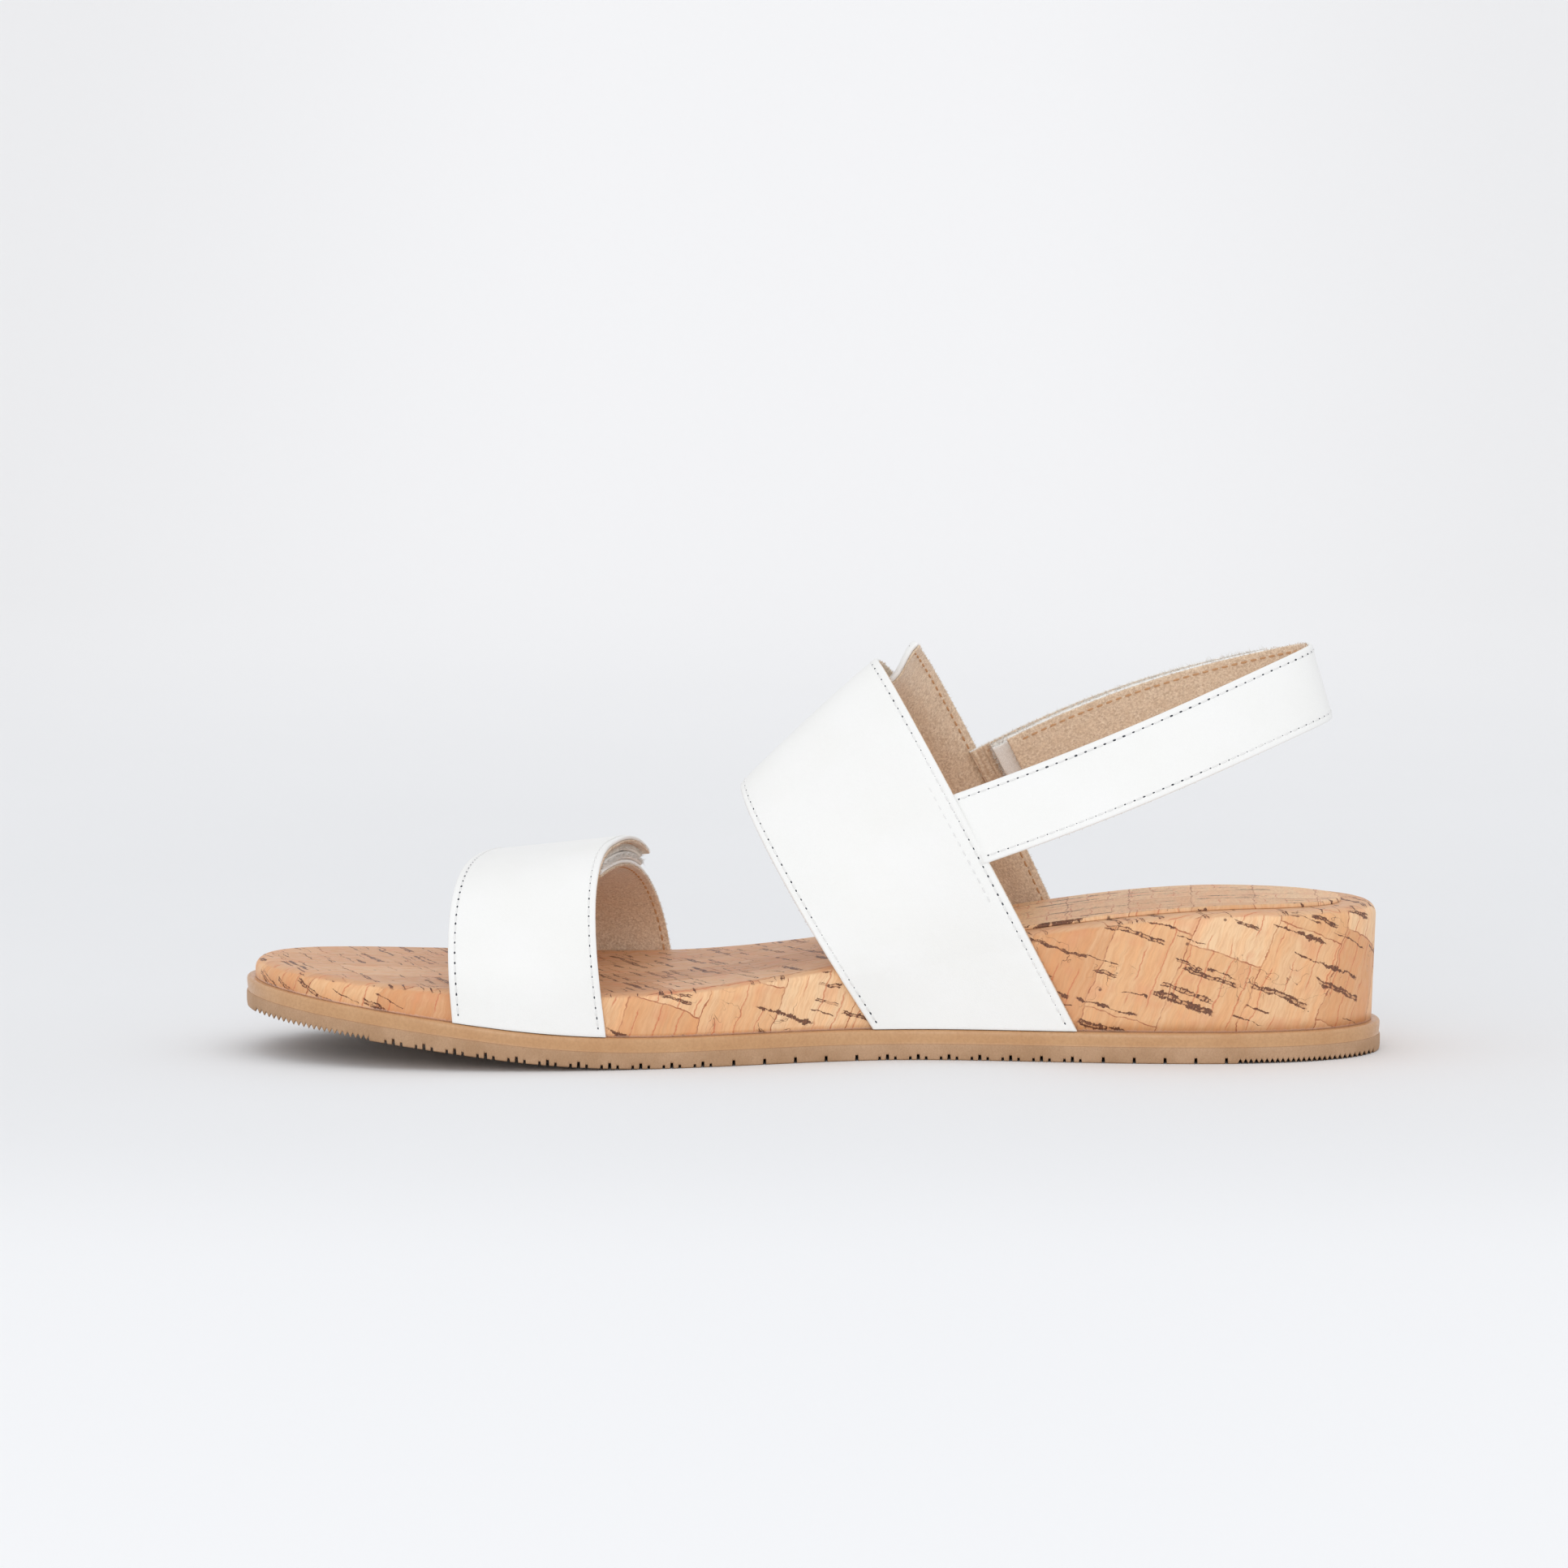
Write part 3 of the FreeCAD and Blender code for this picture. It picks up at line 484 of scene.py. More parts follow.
def add_hairs(mesh, roots, directions, lengths, radius, slot, bend=0.5):
    """Fine tapered fibres, each a bent three-sided spike closed at its root."""
    n = len(roots)
    direction = unit_vectors(directions)
    sway = rng.normal(0, 1, (n, 3))
    sway -= direction * np.sum(sway * direction, axis=1, keepdims=True)
    sway = unit_vectors(sway)
    other = np.cross(direction, sway)
    lengths = np.broadcast_to(lengths, (n,))[:, None]
    middle = roots + direction * lengths * 0.55 + sway * lengths * 0.12 * bend
    tip = roots + direction * lengths * 0.9 + sway * lengths * 0.5 * bend
    turn = np.arange(3) / 3 * 2 * math.pi
    ring = circles(turn, sway, other)
    foot, waist = roots[:, None] + ring * radius, middle[:, None] + ring * radius * 0.8
    points = np.concatenate([foot, waist, tip[:, None]], 1)
    one = [[2, 1, 0]]
    one += [[k, (k + 1) % 3, 3 + (k + 1) % 3] for k in range(3)]
    one += [[k, 3 + (k + 1) % 3, 3 + k] for k in range(3)]
    one += [[3 + k, 3 + (k + 1) % 3, 6] for k in range(3)]
    mesh.add(points, (np.array(one)[None] + (np.arange(n) * 7)[:, None, None]).reshape(-1, 3), slot)


def edge_fuzz(mesh, sheet, slot, per_mm, length, radius=0.035, ends=(False, True)):
    """Fibres that stand out of a sheet's long edges, and of its ends where asked."""
    middle = sum(sheet.offset) / 2
    gauge = (sheet.offset[1] - sheet.offset[0]) * 0.3

    def rooted(point, normal, across, out):
        deep = middle + sheet.lift(across) + rng.uniform(-gauge, gauge, len(point))
        return point + normal * deep[:, None] - out * 0.12

    for edge, sign in ((0.0, -1), (1.0, 1)):
        n = int(sheet.length * per_mm)
        along = np.interp(rng.uniform(0, sheet.length, n), sheet.s, sheet.along)
        across = sheet.place(edge, along)
        point, normal, long, cross = frame_at(sheet.surface, across, along)
        out = unit_vectors(cross) * sign
        point = rooted(point, normal, across, out)
        direction = out + long * rng.normal(0, 0.7, (n, 1)) + normal * rng.normal(0, 0.35, (n, 1))
        add_hairs(mesh, point, direction, rng.gamma(3, length / 3, n).clip(0.15, 2.2 * length), radius, slot)
    for wanted, end, sign in zip(ends, sheet.span, (-1, 1)):
        if not wanted:
            continue
        n = int(sheet.nominal * per_mm)
        across = sheet.place(rng.uniform(0.01, 0.99, n), np.full(n, end))
        point, normal, long, cross = frame_at(sheet.surface, across, np.full(n, end))
        out = long * sign * (1 if sheet.span[1] > sheet.span[0] else -1)
        point = rooted(point, normal, across, out)
        direction = out + unit_vectors(cross) * rng.normal(0, 0.7, (n, 1))
        add_hairs(mesh, point, direction, rng.gamma(3, length / 3, n).clip(0.15, 2.2 * length), radius, slot)


def pile(mesh, sheet, slot, per_mm2, length, outer, radius=0.05, bend=1.0):
    """Hooks or loops all over one face of a tape."""
    n = int(sheet.length * sheet.nominal * per_mm2)
    along = np.interp(rng.uniform(0.5, sheet.length - 0.5, n), sheet.s, sheet.along)
    across = sheet.place(rng.uniform(0.02, 0.98, n), along)
    point, normal, long, _ = frame_at(sheet.surface, across, along)
    sign = 1 if outer else -1
    point = point + normal * (sheet.offset[1 if outer else 0] - sign * 0.12)
    direction = normal * sign + long * rng.normal(0, 0.25, (n, 1)) + rng.normal(0, 0.15, (n, 3))
    add_hairs(mesh, point, direction, np.full(n, length), radius, slot, bend)


# ---------------------------------------------------------------- materials


def srgb(r, g, b):
    """Linear colour of an 8-bit one."""
    shares = (r / 255, g / 255, b / 255)
    return tuple(c / 12.92 if c <= 0.04045 else ((c + 0.055) / 1.055) ** 2.4 for c in shares) + (1.0,)


class Shader:
    """Short names for building a Principled material out of nodes."""

    def __init__(self, name, **constants):
        self.material = bpy.data.materials.new(name)
        self.material.use_nodes = True
        self.nodes, self.links = self.material.node_tree.nodes, self.material.node_tree.links
        self.bsdf = self.nodes["Principled BSDF"]
        for key, value in constants.items():
            self.bsdf.inputs[key.replace("_", " ")].default_value = value

    def add(self, kind, inputs=None, **settings):
        node = self.nodes.new(kind)
        for key, value in settings.items():
            setattr(node, key, value)
        for key, value in (inputs or {}).items():
            if isinstance(value, bpy.types.NodeSocket):
                self.links.new(value, node.inputs[key])
            else:
                node.inputs[key].default_value = value
        return node

    def coords(self, name="sheet"):
        return self.add("ShaderNodeAttribute", attribute_name=name).outputs["Vector"]

    def value(self, name):
        return self.add("ShaderNodeAttribute", attribute_name=name).outputs["Fac"]

    def math(self, kind, a, b=0.0, c=0.0, clamp=False):
        return self.add("ShaderNodeMath", {0: a, 1: b, 2: c}, operation=kind, use_clamp=clamp).outputs[0]

    def times(self, a, b):
        return self.math("MULTIPLY", a, b)

    def plus(self, a, b):
        return self.math("ADD", a, b)

    def minus(self, a, b):
        return self.math("SUBTRACT", a, b)

    def size(self, a):
        return self.math("ABSOLUTE", a)

    def larger(self, a, b):
        return self.math("MAXIMUM", a, b)

    def cells(self, vector, scale, randomness):
        """Outputs of flat Voronoi cells."""
        inputs = {"Vector": vector, "Scale": scale, "Randomness": randomness}
        return self.add("ShaderNodeTexVoronoi", inputs, voronoi_dimensions="2D").outputs

    def vector(self, kind, a, b=(0, 0, 0)):
        return self.add("ShaderNodeVectorMath", {0: a, 1: b}, operation=kind).outputs[0]

    def split(self, vector):
        return self.add("ShaderNodeSeparateXYZ", {0: vector}).outputs

    def join(self, x, y, z=0.0):
        return self.add("ShaderNodeCombineXYZ", {0: x, 1: y, 2: z}).outputs[0]

    def turned(self, vector, degrees, shift=(0, 0, 0)):
        inputs = {"Vector": vector, "Rotation": (0, 0, math.radians(degrees)), "Location": shift}
        return self.add("ShaderNodeMapping", inputs).outputs[0]

    def noise(self, vector, scale, detail=3.0, rough=0.55, warp=0.0, colour=False):
        inputs = {"Vector": vector, "Scale": scale, "Detail": detail, "Roughness": rough, "Distortion": warp}
        return self.add("ShaderNodeTexNoise", inputs).outputs["Color" if colour else "Fac"]

    def band(self, value, low, high, to_low=0.0, to_high=1.0):
        inputs = {0: value, 1: low, 2: high, 3: to_low, 4: to_high}
        return self.add("ShaderNodeMapRange", inputs, clamp=True, interpolation_type="SMOOTHSTEP").outputs[0]

    def mix(self, factor, a, b, kind="MIX"):
        inputs = {0: factor, 6: a, 7: b}
        return self.add("ShaderNodeMix", inputs, data_type="RGBA", blend_type=kind).outputs[2]

    def ramp(self, factor, stops):
        node = self.add("ShaderNodeValToRGB", {0: factor})
        while len(node.color_ramp.elements) < len(stops):
            node.color_ramp.elements.new(0.5)
        for element, (place, colour) in zip(node.color_ramp.elements, stops):
            element.position, element.color = place, colour
        return node.outputs[0]

    def warped(self, vector, scale, amount, detail=2.0):
        push = self.vector("SUBTRACT", self.noise(vector, scale, detail, colour=True), (0.5, 0.5, 0.5))
        return self.vector("ADD", vector, self.vector("MULTIPLY", push, (amount, amount, 0)))

    def bump(self, height, strength, distance, normal=None):
        inputs = {"Height": height, "Strength": strength, "Distance": distance * MM}
        if normal is not None:
            inputs["Normal"] = normal
        return self.add("ShaderNodeBump", inputs).outputs[0]

    def done(self, colour=None, normal=None, roughness=None):
        for key, value in (("Base Color", colour), ("Normal", normal), ("Roughness", roughness)):
            if isinstance(value, bpy.types.NodeSocket):
                self.links.new(value, self.bsdf.inputs[key])
            elif value is not None:
                self.bsdf.inputs[key].default_value = value
        return self.material


class CorkSheet:
    """One sheet of patchwork cork: its colour, and its height for the bump."""

    def __init__(self, sh, vector, degrees, tones, block=(17.0, 31.0), streaks=1.0, seed=(0, 0, 0)):
        """Blocks run along local Y, turned by degrees; the dark streaks lie along local X."""
        v = sh.turned(vector, degrees, shift=seed)
        soft = sh.warped(v, 0.22, 2.2)
        ragged = sh.warped(soft, 1.5, 0.55, 3.0)
        brick_at = sh.turned(ragged, 90)
        brick = sh.add(
            "ShaderNodeTexBrick",
            {"Vector": brick_at, "Scale": 1.0, "Mortar Size": 0.15, "Mortar Smooth": 0.3, "Bias": 0.0,
             "Brick Width": block[1], "Row Height": block[0],
             "Color1": (0, 0, 0, 1), "Color2": (1, 1, 1, 1), "Mortar": (0.5, 0.5, 0.5, 1)},
            offset=0.37, offset_frequency=2, squash=0.7, squash_frequency=3,
        )
        tint, seam = brick.outputs["Color"], brick.outputs["Fac"]
        u, w, _ = sh.split(soft)
        ru, rw, _ = sh.split(ragged)
        block_colour = sh.ramp(tint, tones)
        # fibres parallel to the blocks, wide and fine
        wide = sh.noise(sh.join(sh.times(u, 0.3), sh.times(w, 0.03), tint), 1.0, 4.0, 0.65, 0.6)
        fine = sh.noise(sh.join(sh.times(u, 2.2), sh.times(w, 0.28), tint), 1.0, 3.0, 0.6)
        patch = sh.noise(v, 0.16, 2.0)
        warmer = sh.mix(0.75, block_colour, (1.12, 0.86, 0.66, 1), "MULTIPLY")
        colour = sh.mix(sh.band(wide, 0.4, 0.7, 0, 0.5), block_colour, warmer)
        colour = sh.mix(sh.band(wide, 0.5, 0.3, 0, 0.3), colour, tones[-1][1])
        colour = sh.mix(sh.band(fine, 0.35, 0.72, 0, 0.34), colour, srgb(200, 138, 94))
        colour = sh.mix(sh.band(patch, 0.5, 0.72, 0, 0.35), colour, srgb(222, 150, 112))
        # thin reddish growth lines in some of the blocks
        beat = sh.math("FRACT", sh.math("DIVIDE", sh.plus(ru, sh.times(tint, 3.1)), 4.7))
        line = sh.band(sh.size(sh.minus(beat, 0.5)), 0.0, 0.05, 1.0, 0.0)
        grown = sh.band(sh.noise(v, 0.075, 2.0), 0.44, 0.52)
        line = sh.times(line, sh.times(grown, 0.8))
        colour = sh.mix(line, colour, srgb(202, 112, 76))
        seam_share = sh.band(sh.noise(v, 0.3, 2.0), 0.35, 0.6, 0.35, 0.9)
        colour = sh.mix(sh.times(seam, seam_share), colour, srgb(172, 102, 70))
        # broken dark streaks across the blocks
        dark = None
        for length, gap, keep, thick, place in (
            (17.0, 4.8, 0.46 * streaks, 0.055, 3.3),
            (8.5, 3.2, 0.3 * streaks, 0.05, 47.0),
        ):
            cell_at = sh.join(sh.math("DIVIDE", ru, length), sh.math("DIVIDE", rw, gap), place)
            cell = sh.cells(cell_at, 1.0, 0.9)
            away = sh.split(sh.vector("SUBTRACT", cell_at, cell["Position"]))
            pick = sh.split(cell["Color"])
            swell = sh.noise(sh.join(sh.times(ru, 0.4), sh.times(rw, 0.3), place), 1.0, 5.0, 0.8)
            gauge = sh.band(pick[1], 0.0, 1.0, thick * 0.4, thick)
            limit = sh.times(sh.band(swell, 0.4, 0.72, 0.3, 3.4), gauge)
            aside = sh.size(away[1])
            twin = sh.times(sh.math("GREATER_THAN", pick[2], 0.62), 0.075)
            inside = sh.minus(limit, sh.size(sh.minus(aside, twin)))
            body = sh.band(inside, -0.008, 0.016)
            rung = sh.band(sh.noise(sh.join(sh.times(ru, 1.5), place), 1.0, 2.0), 0.56, 0.6)
            fill = sh.math("MULTIPLY_ADD", rung, 0.5, 0.4)
            body = sh.larger(body, sh.times(fill, sh.math("LESS_THAN", aside, twin)))
            reach = sh.band(sh.size(away[0]), 0.36, 0.48, 1.0, 0.0)
            chosen = sh.math("LESS_THAN", pick[0], keep)
            streak = sh.times(sh.times(body, reach), chosen)
            dark = streak if dark is None else sh.larger(dark, streak)
        # thin curving cracks and pits
        bend = sh.noise(v, 0.13, 3.0, 0.55, 0.4)
        crack = sh.band(sh.size(sh.minus(bend, 0.5)), 0.0, 0.0042, 1.0, 0.0)
        crack = sh.times(crack, sh.band(sh.noise(v, 0.07, 1.0), 0.56, 0.6))
        pit = sh.cells(v, 0.34, 1.0)
        chosen = sh.math("LESS_THAN", sh.split(pit["Color"])[0], 0.03)
        pits = sh.times(sh.band(pit["Distance"], 0.07, 0.16, 1.0, 0.0), chosen)
        thin = sh.larger(sh.times(crack, 0.75), sh.times(pits, 0.8))
        speck = sh.noise(ragged, 2.6, 3.0, 0.7)
        dark_tone = sh.mix(sh.band(speck, 0.4, 0.62), srgb(74, 44, 36), srgb(126, 78, 56))
        halo = sh.band(dark, 0.0, 0.6, 0.0, 0.6)
        colour = sh.mix(sh.times(halo, 0.5), colour, srgb(186, 120, 82))
        colour = sh.mix(sh.times(sh.band(dark, 0.3, 0.75), 0.92), colour, dark_tone)
        self.colour = sh.mix(thin, colour, srgb(104, 66, 50))
        marks_depth = sh.larger(dark, sh.larger(thin, sh.times(seam, 0.35)))
        grain = sh.plus(sh.times(fine, 0.16), sh.times(speck, 0.1))
        block_step = sh.times(tint, 0.06)
        self.height = sh.minus(sh.plus(grain, block_step), marks_depth)


def cork_material():
    sh = Shader("cork_patchwork", Roughness=0.5, Specular_IOR_Level=0.35)
    tones_wall = [(0.0, srgb(216, 159, 113)), (0.35, srgb(230, 180, 132))]
    tones_wall += [(0.7, srgb(237, 193, 148)), (1.0, srgb(246, 212, 170))]
    # The top's tones are darker and greyer than the wall's: painted shade for the top, which the light only
    # grazes. The top's block layout and streaks differ from the wall's.
    top_tones_painted_shade = [(0.0, srgb(205, 159, 121)), (0.5, srgb(217, 173, 134)), (1.0, srgb(226, 186, 147))]
    wall = CorkSheet(sh, sh.coords("wall"), 22, tones_wall, seed=(5.0, 9.0, 0.0))
    top = CorkSheet(sh, sh.coords(), 70, top_tones_painted_shade, streaks=1.25, seed=(61.0, 22.0, 0.0))
    share = sh.plus(sh.value("topness"), sh.times(sh.minus(sh.noise(sh.coords(), 0.35), 0.5), 0.25))
    share = sh.band(share, 0.42, 0.62)
    colour = sh.mix(share, wall.colour, top.colour)
    low = sh.plus(sh.value("low"), sh.times(sh.minus(sh.noise(sh.coords(), 1.8, 4.0), 0.5), 0.9))
    fray = sh.band(low, 0.15, 0.5, 0.75, 0.0)
    colour = sh.mix(fray, colour, srgb(226, 192, 172))
    height = sh.mix(share, wall.height, top.height)
    height = sh.plus(height, sh.times(fray, sh.noise(sh.coords(), 5.0, 3.0)))
    rough = sh.band(sh.noise(sh.coords(), 0.5), 0.3, 0.7, 0.44, 0.6)
    return sh.done(colour, sh.bump(height, 0.55, 0.22), rough)


def sock_material():
    sh = Shader("cork_sock", Roughness=0.5, Specular_IOR_Level=0.35)
    tones = [(0.0, srgb(222, 178, 134)), (0.5, srgb(232, 192, 149)), (1.0, srgb(240, 205, 163))]
    cork = CorkSheet(sh, sh.coords(), 3, tones, block=(14.0, 26.0), streaks=0.8, seed=(13.0, 40.0, 0.0))
    return sh.done(cork.colour, sh.bump(cork.height, 0.55, 0.2))


def rubber_materials():
    made = []
    for name, base, worn, rough, depth, size in (
        ("rubber_smooth", (196, 150, 106), (206, 163, 120), 0.34, 0.03, 1.6),
        ("rubber_stippled", (178, 141, 107), (198, 162, 130), 0.62, 0.3, 3.0),
        # the tread rubber is darker than the wall's: painted shade, to deepen the contact shadow under the
        # sole
        ("rubber_tread_painted_shade", (158, 122, 90), (172, 136, 102), 0.6, 0.1, 3.0),
        ("rubber_parting", (168, 128, 92), (182, 142, 104), 0.6, 0.05, 3.0),
    ):
        sh = Shader(name, Specular_IOR_Level=0.42)
        at = sh.coords()
        broad, small = sh.noise(at, 0.09, 3.0), sh.noise(at, size, 3.0, 0.65)
        colour = sh.mix(sh.band(broad, 0.3, 0.7, 0, 0.8), srgb(*base), srgb(*worn))
        grit = srgb(base[0] - 34, base[1] - 34, base[2] - 32)
        colour = sh.mix(sh.band(small, 0.3, 0.75, 0, 0.3), colour, grit)
        if name == "rubber_stippled":
            x, y, z = sh.split(at)
            stretched = sh.join(sh.times(x, 2.1), sh.times(y, 2.1), sh.times(z, 0.8))
            small = sh.plus(sh.times(small, 0.5), sh.noise(stretched, 1.0, 2.0, 0.5))
        gloss = sh.band(small, 0.3, 0.8, rough - 0.06, rough + 0.1)
        made.append(sh.done(colour, sh.bump(small, 0.6, depth), gloss))
    return made


def leather_material():
    sh = Shader("white_leather", Specular_IOR_Level=0.38, Coat_Weight=0.06, Coat_Roughness=0.35)
    at = sh.coords()
    inputs = {"Vector": sh.warped(at, 0.9, 0.5), "Scale": 1.9}
    cells = sh.add("ShaderNodeTexVoronoi", inputs, feature="DISTANCE_TO_EDGE")
    crease = sh.band(cells.outputs["Distance"], 0.0, 0.16, 0.0, 1.0)
    pore = sh.noise(at, 3.4, 3.0, 0.6)
    broad = sh.noise(at, 0.055, 3.0, 0.5)
    height = sh.plus(sh.times(crease, 0.5), sh.times(pore, 0.5))
    colour = sh.mix(sh.band(broad, 0.3, 0.7), srgb(240, 240, 237), srgb(242, 242, 240))
    # darker along the grain's creases: painted shade in the creases
    colour = sh.mix(sh.band(crease, 0.0, 0.5, 0.05, 0.0), colour, srgb(214, 214, 213))
    normal = sh.bump(broad, 0.15, 0.4, sh.bump(height, 0.3, 0.045))
    return sh.done(colour, normal, sh.band(pore, 0.25, 0.75, 0.36, 0.48))


def suede_material(name, ribbed=False):
    sh = Shader(name, Specular_IOR_Level=0.15, Sheen_Weight=0.5, Sheen_Roughness=0.5, Roughness=0.95)
    at = sh.coords()
    nap = sh.noise(at, 1.9, 5.0, 0.8)
    mottle = sh.noise(at, 0.4, 3.0)
    x, y, _ = sh.split(at)
    drawn = sh.noise(sh.join(sh.times(x, 0.6), sh.times(y, 3.4)), 1.0, 3.0, 0.7)
    colour = sh.mix(sh.band(nap, 0.33, 0.68), srgb(198, 170, 142), srgb(252, 234, 210))
    colour = sh.mix(sh.band(mottle, 0.35, 0.7, 0, 0.4), colour, srgb(232, 206, 176))
    colour = sh.mix(sh.band(drawn, 0.45, 0.75, 0, 0.3), colour, srgb(196, 166, 138))
    height = sh.plus(nap, sh.times(drawn, 0.5))
    if ribbed:
        rib = sh.math("SINE", sh.times(sh.plus(x, mottle), 2 * math.pi / 1.1))
        # darker in the troughs between the ribs: painted shade in the troughs
        colour = sh.mix(sh.band(rib, -1.0, 0.0, 0.45, 0.0), colour, srgb(190, 154, 122))
        height = sh.plus(height, sh.times(rib, 0.5))
    return sh.done(colour, sh.bump(height, 0.8, 0.16))


def plain_material(name, dark, light, scale, depth, rough, gloss=0.5, **constants):
    """A fibre, foam or metal look: two tones, a noise bump and an uneven gloss."""
    sh = Shader(name, Specular_IOR_Level=gloss, **constants)
    grain = sh.noise(sh.coords(), scale, 4.0, 0.65)
    colour = sh.mix(sh.band(grain, 0.3, 0.7), srgb(*dark), srgb(*light))
    return sh.done(colour, sh.bump(grain, 0.5, depth), sh.band(grain, 0.3, 0.7, rough - 0.08, rough + 0.08))


CORK, SOCK = cork_material(), sock_material()
RUBBER = rubber_materials()
LEATHER = leather_material()
SUEDE, RIBBED = suede_material("tan_microsuede"), suede_material("tan_microsuede_ribbed", True)
THREAD = plain_material("sewing_thread", (226, 226, 224), (244, 244, 242), 7.0, 0.06, 0.62, 0.2)
# The two hole materials paint the shade inside the stitch holes as dark discs.
NEEDLE_HOLE_SHADE = plain_material("needle_hole_painted_shade", (58, 60, 66), (96, 99, 106), 3.0, 0.02, 0.9, 0.1)
LINING_THREAD = plain_material("lining_thread", (186, 140, 100), (216, 174, 134), 7.0, 0.06, 0.7, 0.15)
LINING_HOLE_SHADE = plain_material("lining_hole_painted_shade", (92, 60, 42), (128, 88, 62), 3.0, 0.02, 0.9, 0.1)
FUZZ = plain_material("suede_fibre", (184, 146, 112), (226, 194, 160), 1.2, 0.02, 0.95, 0.1, Sheen_Weight=0.3)
HOOK = plain_material("hook_tape_nylon", (230, 224, 214), (249, 245, 238), 2.6, 0.12, 0.5, 0.3)
LOOP = plain_material(
    "loop_tape_nylon", (228, 225, 220), (250, 248, 244), 3.8, 0.2, 0.8, 0.15, Sheen_Weight=0.3
)


# ---------------------------------------------------------------- sole pieces


def tip_spacing(low, high, fine, step):
    """X stations that crowd towards both tips of an outline."""
    tip = 26
    turn = tip * (1 - np.cos(np.linspace(0, math.pi / 2, fine)))
    return np.unique(np.concatenate([low + turn, np.arange(low + tip, high - tip, step), high - turn]))


def groove(x, floor, mouth, depth):
    """A cut's section; floor and mouth are half its widths."""
    return [(x - mouth, 0.0), (x - floor, depth), (x + floor, depth), (x + mouth, 0.0)]


def tread_marks():
    """X and depth of the tread's section: plain grooves, narrow slots beside some, and teeth at both ends."""
    found = []
    for k in range(3, 31):
        x = HALF - 16 - 6.8 * k
        found += groove(x, 0.3, 0.38, 1.25)
        if x < -20 or 12 < x < 58:
            for side in (-1.75, 1.75):
                found += groove(x + side, 0.25, 0.32, 0.75)
    for first, last in ((-125.0, -98.5), (93.6, 125.0)):
        for x in np.arange(first, last, 1.2):
            found += [(x, 0.0), (x + 0.6, 1.1)]
        found.append((last + 0.6, 0.0))
    found = sorted(found)
    return np.array([f[0] for f in found]), np.array([f[1] for f in found])


def side_ring(x, side, inset):
    """Points of the outline at these X stations, moved inwards along its normal."""
    xs, us = rails(0.0).tables[side]
    return inset_outline(np.interp(x, xs, us), inset)


def make_outsole():
    at, depths = tread_marks()
    x = np.unique(np.round(np.concatenate([tip_spacing(-HALF, HALF, 70, 0.8), at]), 4))
    depth = np.interp(x, at, depths, 0, 0)
    # inset and height of the wall's section, from under the cork down to the tread
    wall = [(7, OUTSOLE_GAUGE), (1.2, OUTSOLE_GAUGE), (0.7, 6.78), (0.36, 6.68), (0.16, 6.45), (0.08, 6.1)]
    wall += [(0.1, 5.5), (0.17, 4.8), (0.24, 4.3), (0.27, 3.9), (0.26, 3.7), (0.2, 3.58), (0.07, 3.46)]
    wall += [(0.01, 3.2), (0.0, 2.6), (0.0, 1.9), (0.02, 1.2), (0.08, 0.6), (0.16, 0.2), (0.4, 0.0)]
    # material of each band of the wall: smooth, parting line, stippled, tread
    bands = [0] * 10 + [3] + [1] * 7 + [2]
    rows = []
    for side in (MEDIAL, LATERAL):
        ring = []
        for inset, height in wall:
            spot = side_ring(x, side, inset)
            cut = depth + height * (1 - depth / TREAD_GAUGE)
            raised = np.where(height < TREAD_GAUGE, cut, height)
            ring.append(np.concatenate([spot, (ground(spot[:, 0]) + raised)[:, None]], 1))
        rows.append(ring)
    under = []
    for share in np.linspace(0, 1, 13)[1:-1]:
        under.append(rows[0][-1] * (1 - share) + rows[1][-1] * share)
    loop = rows[0] + under + rows[1][::-1]
    points = np.stack(loop, 1)
    columns = points.shape[1]
    mesh = Mesh()
    quads = grid_faces(len(x), columns, close=True)
    slots = bands + [2] * 12 + bands[::-1] + [0]
    mesh.add(points, quads, 0)
    mesh.slots = slots * (len(x) - 1)
    made = mesh.build("outsole_rubber", RUBBER, merge=0.004)
    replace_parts(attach(made, "sole"), "outsole")


